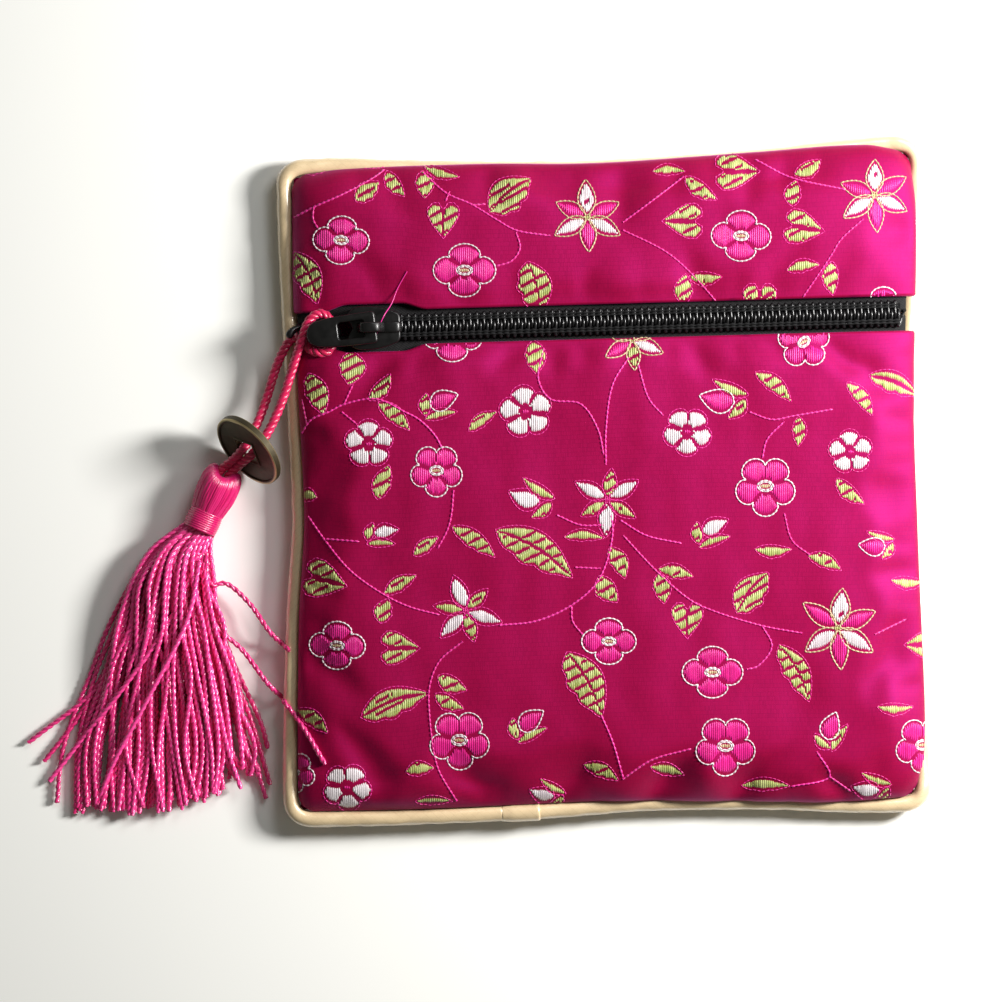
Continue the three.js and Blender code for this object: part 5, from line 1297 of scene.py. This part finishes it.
def plate_outline(inset=0.0):
    """The slider's plate: wide shoulders at the open end, with a notch, and a narrow tail."""
    half, wide, narrow = SLIDER_LENGTH / 2 - inset, SLIDER_WIDE / 2 - inset, SLIDER_NARROW / 2 - inset
    line = [[-half + 0.9, 0], [-half, -WEDGE_WIDTH]]
    for control, end in (((-half, -wide), (-half * 0.36, -wide)), ((half * 0.3, -wide), (half * 0.8, -narrow)),
                         ((half, -narrow * 0.9), (half, -narrow * 0.5))):
        line += quad_curve(np.array(line[-1]), control, end)
    return line + [[x, -y] for x, y in reversed(line[1:])]


def beam(points, width, thickness):
    """A rounded strap along points in the X and Z plane, of even width along Y."""
    line = smooth_line([(x, 0, z) for x, z in points], 0.15)
    ahead = np.gradient(line, axis=0)
    ahead /= np.linalg.norm(ahead, axis=1)[:, None]
    over = np.cross(ahead, (0, 1.0, 0))
    verts, faces = [], []
    sides = 16
    for k in range(sides):
        angle = 2 * math.pi * k / sides
        y = width / 2 * math.copysign(abs(math.cos(angle)) ** 0.45, math.cos(angle))
        z = thickness / 2 * math.copysign(abs(math.sin(angle)) ** 0.6, math.sin(angle))
        verts.append(line + over * z + np.array([0, y, 0]))
    verts = np.stack(verts, axis=1)
    count = len(line)
    for r in range(count - 1):
        for k in range(sides):
            m = (k + 1) % sides
            faces.append((r * sides + k, r * sides + m, (r + 1) * sides + m, (r + 1) * sides + k))
    faces.append(tuple(range(sides))[::-1])
    faces.append(tuple((count - 1) * sides + k for k in range(sides)))
    mesh = bpy.data.meshes.new("beam")
    mesh.from_pydata((verts.reshape(-1, 3) * MM).tolist(), [], faces)
    return mesh


tape_top = -CLOTH_WALL / 2 - FIT_GAP
upper_plate = tape_top + 0.15 + 1.5 + FIT_GAP
lower_plate = tape_top - TAPE_WALL - FIT_GAP - PLATE
plate_top = upper_plate + PLATE
tab_under = plate_top + FIT_GAP + math.sin(TAB_TILT) * SLIDER_LENGTH / 2
arch_top = tab_under + TAB_THICKNESS + FIT_GAP
here = zip_middle(np.array([SLIDER_X, SLIDER_X - SLIDER_LENGTH / 2, SLIDER_X + SLIDER_LENGTH / 2]))
slope = math.atan2(here[2, 2] - here[1, 2], here[2, 0] - here[1, 0])
slider_frame = (Matrix.Translation(here[0] * MM) @ Matrix.Rotation(ZIP_TILT, 4, "Z") @ Matrix.Rotation(-slope, 4, "Y"))


def raised_by(z):
    return slider_frame @ Matrix.Translation((0, 0, z * MM))


foot = (TAB_BAR + 2 * FIT_GAP + BRIDGE_WALL) / 2
crown = arch_top + BRIDGE_WALL / 2
bridge = beam([(BRIDGE_X - foot - 0.3, plate_top - 0.2), (BRIDGE_X - foot, plate_top + 1.1), (BRIDGE_X - foot + 0.7, crown),
               (BRIDGE_X + foot - 0.7, crown), (BRIDGE_X + foot, plate_top + 1.1), (BRIDGE_X + foot + 0.3, plate_top - 0.2)],
              BRIDGE_WIDTH, BRIDGE_WALL)
ridge = beam([(BRIDGE_X + foot, plate_top), (BRIDGE_X + foot + 1.2, plate_top + 0.15), (SLIDER_LENGTH / 2 - 0.5, plate_top + 0.02),
              (SLIDER_LENGTH / 2 - 0.1, plate_top - 0.5)], 1.9, 0.7)
wedge_outline = [(-SLIDER_LENGTH / 2 + 1.2, -WEDGE_WIDTH / 2), (-0.46, -WEDGE_WIDTH / 4), (-0.46, WEDGE_WIDTH / 4),
                 (-SLIDER_LENGTH / 2 + 1.2, WEDGE_WIDTH / 2)]
parts = [(cast_plate([plate_outline()], PLATE, 0.36), raised_by(upper_plate + PLATE / 2)),
         (cast_plate([plate_outline()], PLATE, 0.3), raised_by(lower_plate + PLATE / 2)),
         (cast_plate([wedge_outline], plate_top - lower_plate - PLATE, 0.1),
          raised_by((plate_top + lower_plate) / 2)),
         (bridge, slider_frame), (ridge, slider_frame)]
rim_low, rim_high = tape_top + FIT_GAP, upper_plate + 0.3
for hand in (1, -1):
    flange = [(x, hand * y) for x, y in ((-2.6, SLIDER_WIDE / 2 - 0.75), (0.9, SLIDER_WIDE / 2 - 0.95), (2.9, SLIDER_WIDE / 2 - 1.35),
                                         (2.9, SLIDER_WIDE / 2 - 0.8), (1.2, SLIDER_WIDE / 2 - 0.35), (-1.4, SLIDER_WIDE / 2 - 0.06),
                                         (-2.6, SLIDER_WIDE / 2 - 0.2))]
    parts.append((cast_plate([flange], rim_high - rim_low, 0.12), raised_by((rim_high + rim_low) / 2)))
slider = joined_cast("slider_body", parts, black_enamel)

bar, tip, wide, end = TAB_BAR / 2, TAB_TIP / 2, TAB_WIDTH / 2, TAB_BAR / 2 - TAB_LENGTH
tab_outline = [[bar, -wide * 0.75], [bar, wide * 0.75]]
tab_outline += quad_curve(np.array(tab_outline[-1]), (bar, wide), (bar - 0.7, wide))
tab_outline += quad_curve(np.array(tab_outline[-1]), (bar - TAB_LENGTH * 0.62, wide), (end + tip, tip))
tab_outline += [[end + tip + tip * math.cos(a), tip * math.sin(a)] for a in np.linspace(math.pi / 2, math.pi * 1.5, 16)[1:]]
tab_outline += quad_curve(np.array(tab_outline[-1]), (bar - TAB_LENGTH * 0.62, -wide), (bar - 0.7, -wide))
tab_outline += quad_curve(np.array(tab_outline[-1]), (bar, -wide), (bar, -wide * 0.75))[:-1]
left, corner = -bar - WINDOW_LENGTH, 0.5
window = []
for cx, cy, first in ((-bar - corner, WINDOW_WIDTH / 2 - corner, 0), (left + corner, WINDOW_WIDTH / 2 - corner, 90),
                      (left + corner, -WINDOW_WIDTH / 2 + corner, 180), (-bar - corner, -WINDOW_WIDTH / 2 + corner, 270)):
    window += [(cx + corner * math.cos(math.radians(first + a)), cy + corner * math.sin(math.radians(first + a)))
               for a in (0, 22, 45, 68, 90)]
tab_frame = (slider_frame @ Matrix.Translation((BRIDGE_X * MM, 0, tab_under * MM)) @ Matrix.Rotation(TAB_YAW, 4, "Z")
             @ Matrix.Rotation(-TAB_TILT, 4, "Y"))
clear = CORD_DIAMETER + FIT_GAP
eye_x = bar - TAB_LENGTH + TAB_TIP * 0.9
loop_line = [(eye_x - clear / 2 - 0.3, 0.3), (eye_x - clear / 2 - 0.3, -clear), (eye_x - clear / 2 + 0.2, -clear - 0.3),
             (eye_x + clear / 2 - 0.2, -clear - 0.3), (eye_x + clear / 2 + 0.3, -clear), (eye_x + clear / 2 + 0.3, 0.3)]
tab = joined_cast("pull_tab", [(cast_plate([tab_outline, window], TAB_THICKNESS, 0.34),
                                tab_frame @ Matrix.Translation((0, 0, TAB_THICKNESS / 2 * MM))),
                               (beam(loop_line, 1.2, 0.6), tab_frame)], black_enamel)
for piece, node in ((slider, "slider"), (tab, "puller")):
    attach(piece, "root")
    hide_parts(node)

# A loose end of pink sewing thread, caught under the slider
stray_line = []
for x, y in ((-34.5, 36.6), (-36.2, 33.6), (-37.2, 31.0), (-38.6, 28.6), (-40.0, 25.2)):
    hit = front_side.ray_cast(Vector((x, y, 60)), Vector((0, 0, -1)))[0]
    stray_line.append((x, y, (hit.z if hit is not None else 0) + 0.15))
stray_line[2:] = [(x, y, z) for (x, y, _), z in zip(stray_line[2:], (9.6, 11.2, 10.2))]
stray = lay_threads("stray_thread", [(smooth_line(stray_line, 0.3), 1.0, 0.7)], 0.1, 5, weft_silks["p"])
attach(stray, "root")

# ---- Coin
# A cast brass disc with a raised rim and a square hole, dark with age and rubbed bright at its edges.
# It leans on the table with both runs of the cord through its hole.
COIN_DIAMETER, COIN_WALL, COIN_RIM, COIN_RELIEF, COIN_HOLE = 14.2, 0.9, 0.8, 0.2, 4.1
COIN_PLACE = (-14.8, -20.5)
COIN_FACING = Vector((-0.65, -0.593, 0.475)).normalized()

aged_brass, tree, shader = new_finish("aged brass", Metallic=0.7, Specular_IOR_Level=0.4)
place = add_node(tree, "ShaderNodeTexCoord")
patches = add_node(tree, "ShaderNodeTexNoise", Vector=place.outputs["Object"], Scale=260.0, Detail=6.0, Roughness=0.65)
grit = add_node(tree, "ShaderNodeTexNoise", Vector=place.outputs["Object"], Scale=1800.0, Detail=4.0)
rubbed = add_node(tree, "ShaderNodeAttribute", {"attribute_name": "rubbed"})
wear = add_node(tree, "ShaderNodeMath", {"operation": "MULTIPLY_ADD", "use_clamp": True})
tree.links.new(patches.outputs["Fac"], wear.inputs[0])
wear.inputs[1].default_value = 0.5
tree.links.new(rubbed.outputs["Fac"], wear.inputs[2])
tone = add_node(tree, "ShaderNodeValToRGB", Fac=wear.outputs[0])
tone.color_ramp.elements[0].position, tone.color_ramp.elements[0].color = 0.12, (0.030, 0.024, 0.014, 1)
tone.color_ramp.elements[1].position, tone.color_ramp.elements[1].color = 1.0, (0.50, 0.40, 0.20, 1)
middle = tone.color_ramp.elements.new(0.45)
middle.color = (0.085, 0.068, 0.036, 1)
gloss = add_node(tree, "ShaderNodeMapRange", Value=wear.outputs[0], To_Min=0.62, To_Max=0.28)
raised = add_node(tree, "ShaderNodeBump", Height=grit.outputs["Fac"], Distance=0.05 * MM, Strength=0.5)
tree.links.new(tone.outputs["Color"], shader.inputs["Base Color"])
tree.links.new(gloss.outputs["Result"], shader.inputs["Roughness"])
tree.links.new(raised.outputs["Normal"], shader.inputs["Normal"])


def circle(radius, count=72):
    return [(radius * math.cos(a), radius * math.sin(a)) for a in np.linspace(0, 2 * math.pi, count, endpoint=False)]


def square(half, corner=0.25):
    found = []
    for cx, cy, first in ((half - corner, half - corner, 0), (corner - half, half - corner, 90),
                          (corner - half, corner - half, 180), (half - corner, corner - half, 270)):
        found += [(cx + corner * math.cos(math.radians(first + a)), cy + corner * math.sin(math.radians(first + a)))
                  for a in (0, 30, 60, 90)]
    return found


full = COIN_WALL + 2 * COIN_RELIEF
radius = COIN_DIAMETER / 2
lean = math.sqrt(1 - COIN_FACING.z ** 2)
coin_at = Vector((EYE[0] + COIN_PLACE[0], EYE[1] + COIN_PLACE[1], radius * lean + full / 2 * COIN_FACING.z + FIT_GAP / 10))
coin_frame = Matrix.Translation(coin_at * MM) @ Vector((0, 0, 1)).rotation_difference(COIN_FACING).to_matrix().to_4x4()
coin = joined_cast("coin_disc", [
    (cast_plate([circle(radius - COIN_RIM / 2), square(COIN_HOLE / 2 + 0.2)], COIN_WALL, 0.08), coin_frame),
    (cast_plate([circle(radius), circle(radius - COIN_RIM)], full, 0.22), coin_frame),
    (cast_plate([square(COIN_HOLE / 2 + COIN_RIM * 0.6), square(COIN_HOLE / 2)], full, 0.16), coin_frame)], aged_brass)
back_to_disc = coin_frame.inverted()
rubbed_at = []
for vertex in coin.data.vertices:
    local = back_to_disc @ vertex.co / MM
    reach = math.hypot(local.x, local.y)
    on_rim = reach > radius - 0.25 and abs(local.z) > full / 2 - 0.14
    on_collar = 0.45 if max(abs(local.x), abs(local.y)) < COIN_HOLE / 2 + COIN_RIM * 0.6 and abs(local.z) > COIN_WALL / 2 else 0
    rubbed_at.append(max(on_rim * 0.6, on_collar * 0.2))
coin.data.attributes.new("rubbed", "FLOAT", "POINT").data.foreach_set("value", rubbed_at)
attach(coin, "root")
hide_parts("coin")

# ---- Tassel
# A hank of pink silk folded over the cord's end, bound below the fold with the same thread, and cut
# to length. Each strand is two plies. Most lie in a fan on the table, and a few stray to the pouch.
HEAD_PLACE = (-19.2, -24.6)
HEAD_AXIS = np.array([0.417, 0.909, 0.0]) / math.hypot(0.417, 0.909)
HEAD_DIAMETER, HEAD_LENGTH = 7.2, 7.0
BINDING_DIAMETER, BINDING_LENGTH = 5.8, 4.2
STRAND_PLY, STRAND_LEAN, STRAND_LAY = 0.32, 0.19, 2.6
STRANDS = 92

tassel_silk = silk_thread("tassel silk", (0.62, 0.006, 0.13), (1.0, 0.07, 0.36), Roughness=0.23,
                          Specular_IOR_Level=1.0, Sheen_Weight=0.12, Sheen_Tint=(1, 0.5, 0.75, 1))
chance = random.Random(5)
head_top = np.array([EYE[0] + HEAD_PLACE[0], EYE[1] + HEAD_PLACE[1], HEAD_DIAMETER / 2 + FIT_GAP / 10])
head_side = np.cross(HEAD_AXIS, (0, 0, 1.0))
UP = np.array([0, 0, 1.0])


def round_head(below, radius, angle):
    """A point about the tassel's line: a distance below the head's top, out from the line, and round it."""
    return head_top - HEAD_AXIS * below + radius * (math.cos(angle) * head_side + math.sin(angle) * UP)


head_lines = []
profile = [(2.2, 1.1), (0.9, 1.25), (-0.1, 1.9), (0.25, 2.75), (1.6, 3.3), (3.2, 3.38),
           (4.8, 3.25), (6.2, 2.98), (7.2, 2.75), (9.4, 2.2)]
for k in range(64):
    angle = 2 * math.pi * k / 64
    rise = 1.0 - 1.7 * math.cos(angle) ** 2
    twist = chance.uniform(0.1, 0.25)
    line = [round_head(b + rise * (1, 1, 1, 0.9, 0.5, 0.2, 0, 0, 0, 0)[i],
                       r + chance.uniform(-0.05, 0.05), angle + twist * i / 9)
            for i, (b, r) in enumerate(profile)]
    head_lines.append((smooth_line(line, 0.5), 1.0, chance.uniform(-0.25, 0.25)))
head = lay_threads("tassel_head", head_lines, 0.27, 6, tassel_silk)

winding = []
turns = 9
angle = np.linspace(0, 2 * math.pi * turns, 40 * turns)
for start, layer in ((0.0, 0.0), (0.35, 0.22)):
    rows_wound = []
    for a in angle:
        share = a / angle[-1]
        below = HEAD_LENGTH + 0.2 + start + (BINDING_LENGTH - 0.4 - start) * (share if layer == 0 else 1 - share)
        belly = 0.12 * math.sin(math.pi * share)
        rows_wound.append(round_head(below, BINDING_DIAMETER / 2 - 0.36 + layer + belly - 0.1 * layer,
                                     a if layer == 0 else -a))
    winding.append((np.array(rows_wound), 1.0, 0.2 * layer - 0.1))
binding = lay_threads("tassel_winding", winding, 0.26, 6, tassel_silk)

neck = head_top - HEAD_AXIS * (HEAD_LENGTH + BINDING_LENGTH - 0.8)


def between(left, right, share):
    """The place that lies a share of the way from left to right."""
    return left + (right - left) * share


# Rows across the fan from the neck down: Y, the left and right edges' X, and the lowest and highest Z
FAN = [(-12.3, -79.6, -69.5, 1.9, 5.6), (-17.6, -83.6, -69.1, 1.2, 6.2), (-25.6, -87.0, -67.3, 0.8, 5.8),
       (-34.0, -90.2, -64.9, 0.6, 4.9), (-47.0, -94.6, -61.8, 0.6, 3.2)]


def strand_line(share, layer, wander):
    """One strand of the fan: share runs from its left edge to its right, and layer from table to top."""
    spread = 2 * share - 1
    under = 1 - 0.45 * spread * spread
    start = neck + head_side * 2.3 * spread + UP * (2.0 * (2 * layer - 1) * under - 0.5)
    line = [start]
    for y, left, right, low, high in FAN:
        # The fan's left edge moves in for the upper strands
        left -= 0.16 * layer * (y + 12.3)
        place = between(left, right, min(1.03, max(-0.03, share + chance.uniform(-wander, wander))))
        line.append((place, y + chance.uniform(-0.6, 0.6), low + (high - low) * layer * under))
    tip_x = between(-96.6 + 7 * layer, -60.3, min(1.0, max(0.0, share + chance.uniform(-wander, wander))))
    tip_y = -51.2 - 6.6 * math.sin(math.pi * min(1, 0.3 + share * 0.8)) ** 0.6 + chance.uniform(-1.2, 0.7)
    line.append((tip_x, tip_y, 0.55 + 1.7 * layer * under))
    return line


strand_lines, strand_tones_and_painted_shade = [], []
for k in range(STRANDS):
    share = (k * 0.618034) % 1.0
    layer = (k + 0.5) / STRANDS
    strand_lines.append(strand_line(share, layer, 0.035 + 0.03 * layer))
    # Each strand's tone: the lower strands of the fan, and most of all those at its left, are made darker as painted
    # shade, with a little random tone
    strand_tones_and_painted_shade.append(0.12 + 0.35 * layer + 0.45 * layer * share + chance.uniform(-0.08, 0.12))
# Strands that leave the fan, low at the left, across its front, and between it and the pouch
for row in ([(-71.5, -12.0, 4.0), (-80.0, -22.0, 2.4), (-89.0, -36.0, 1.0), (-101.6, -46.2, 0.6)],
            [(-71.0, -13.0, 4.6), (-76.0, -24.0, 5.0), (-83.5, -35.0, 4.2), (-92.0, -45.5, 1.6), (-97.9, -53.0, 0.7)],
            [(-71.0, -14.0, 5.2), (-73.0, -24.0, 6.2), (-80.0, -38.0, 5.2), (-86.5, -50.0, 3.0), (-89.2, -56.6, 1.2)],
            [(-72.0, -13.0, 3.0), (-84.0, -27.0, 1.4), (-93.0, -42.0, 0.7), (-98.8, -49.5, 0.6)],
            [(-70.4, -13.0, 3.0), (-68.4, -25.0, 2.2), (-66.0, -38.0, 1.2), (-61.8, -49.0, 0.7), (-59.6, -56.0, 0.65)],
            [(-70.4, -13.0, 2.4), (-68.6, -26.0, 1.6), (-63.0, -40.0, 0.8), (-59.9, -50.0, 0.62), (-58.9, -53.6, 0.62)],
            [(-70.4, -12.5, 2.2), (-69.0, -24.0, 1.4), (-64.5, -34.0, 0.7), (-60.4, -43.0, 0.62), (-59.3, -47.2, 0.62)]):
    strand_lines.append(row)
over_pouch = [
    [(-70.0, -12.5, 4.2), (-69.2, -18.2, 3.2), (-66.6, -18.0, 2.6), (-62.5, -21.5, 2.6), (-58.4, -27.0, 3.6), (-55.3, -29.8, 0)],
    [(-70.0, -13.0, 4.6), (-69.0, -24.3, 3.4), (-63.5, -30.0, 2.4), (-58.8, -36.0, 3.8), (-56.2, -38.8, 0), (-52.5, -43.6, 0),
     (-48.9, -49.6, 0)],
]
pouch_side = BVHTree.FromPolygons(front_verts + [list(v.co / MM) for v in bead.data.vertices],
                                  front_faces + [[i + len(front_verts) for i in p.vertices] for p in bead.data.polygons])
for row in over_pouch:
    strand_lines.append(row)
strands = []
# Tones of the stray strands: those low on the table are painted darker as painted shade, those high across the fan's
# front lighter as painted light
strand_tones_and_painted_shade += [0.35, 0.75, 0.85, 0.15, 0.3, 0.2, 0.2, 0.3, 0.4]
for line, shade in zip(strand_lines, strand_tones_and_painted_shade):
    fine_line = smooth_line(line, 0.55)
    for point in fine_line:
        hit = pouch_side.ray_cast(Vector((point[0], point[1], 60)), Vector((0, 0, -1)))[0]
        if hit is not None:
            point[2] = max(point[2] if point[2] > 0.01 else 0, hit.z + 0.5)
    for k in range(2):
        kernel = np.array([0.25, 0.5, 0.25])
        fine_line[1:-1, 2] = np.maximum(np.convolve(fine_line[:, 2], kernel, "valid"), fine_line[1:-1, 2] - 0.02)
    for ply in laid_plies(fine_line, 2, STRAND_LEAN, STRAND_LAY, chance.uniform(0, 6)):
        ply[:, 2] = np.maximum(ply[:, 2], 0.3)
        strands.append((ply, 1.0, shade + chance.uniform(-0.1, 0.1)))
half = len(strands) // 2
skirt = [lay_threads("tassel_skirt", strands[:half], STRAND_PLY, 5, tassel_silk),
         lay_threads("tassel_skirt_over", strands[half:], STRAND_PLY, 5, tassel_silk)]
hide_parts("tassel")
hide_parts("tassel_binding")
for piece in (head, binding, *skirt):
    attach(piece, "root")

# ---- Table and light
# A plain white table under soft light: a broad lamp low at the right, which draws the shadow to the
# left and the satin's sheen, and a pale room round it.
table = bpy.data.meshes.new("table")
table.from_pydata([(x, y, -0.0003) for x, y in ((-3, -3), (3, -3), (3, 3), (-3, 3))], [], [(0, 1, 2, 3)])
floor = bpy.data.objects.new("table", table)
white, tree, shader = new_finish("white table", Roughness=0.85, Specular_IOR_Level=0.2)
place = add_node(tree, "ShaderNodeTexCoord")
cloudy = add_node(tree, "ShaderNodeTexNoise", Vector=place.outputs["Object"], Scale=9.0, Detail=2.0)
tone = add_node(tree, "ShaderNodeValToRGB", Fac=cloudy.outputs["Fac"])
tone.color_ramp.elements[0].color = (0.93, 0.93, 0.90, 1)
tone.color_ramp.elements[1].color = (0.97, 0.97, 0.94, 1)
tree.links.new(tone.outputs["Color"], shader.inputs["Base Color"])
table.materials.append(white)
bpy.context.scene.collection.objects.link(floor)


def add_lamp(name, place, aim, size, power, colour):
    lamp = bpy.data.lights.new(name, "AREA")
    lamp.shape = "RECTANGLE"
    lamp.size, lamp.size_y = size
    lamp.energy = power
    lamp.color = colour
    holder = bpy.data.objects.new(name, lamp)
    holder.location = place
    holder.rotation_euler = (Vector(aim) - Vector(place)).to_track_quat("-Z", "Y").to_euler()
    holder.visible_camera = False
    bpy.context.scene.collection.objects.link(holder)


add_lamp("window", (0.275, 0.085, 0.205), (0.0, 0.0, 0.0), (0.08, 0.11), 2.85, (1.0, 0.985, 0.96))
add_lamp("skylight", (0.1, 0.22, 0.27), (0.0, 0.0, 0.0), (0.14, 0.14), 0.36, (0.97, 0.985, 1.0))
room = bpy.data.worlds.new("room")
room.use_nodes = True
room.node_tree.nodes["Background"].inputs["Color"].default_value = (0.94, 0.95, 0.84, 1)
room.node_tree.nodes["Background"].inputs["Strength"].default_value = 0.115
bpy.context.scene.world = room

bpy.context.view_layer.update()
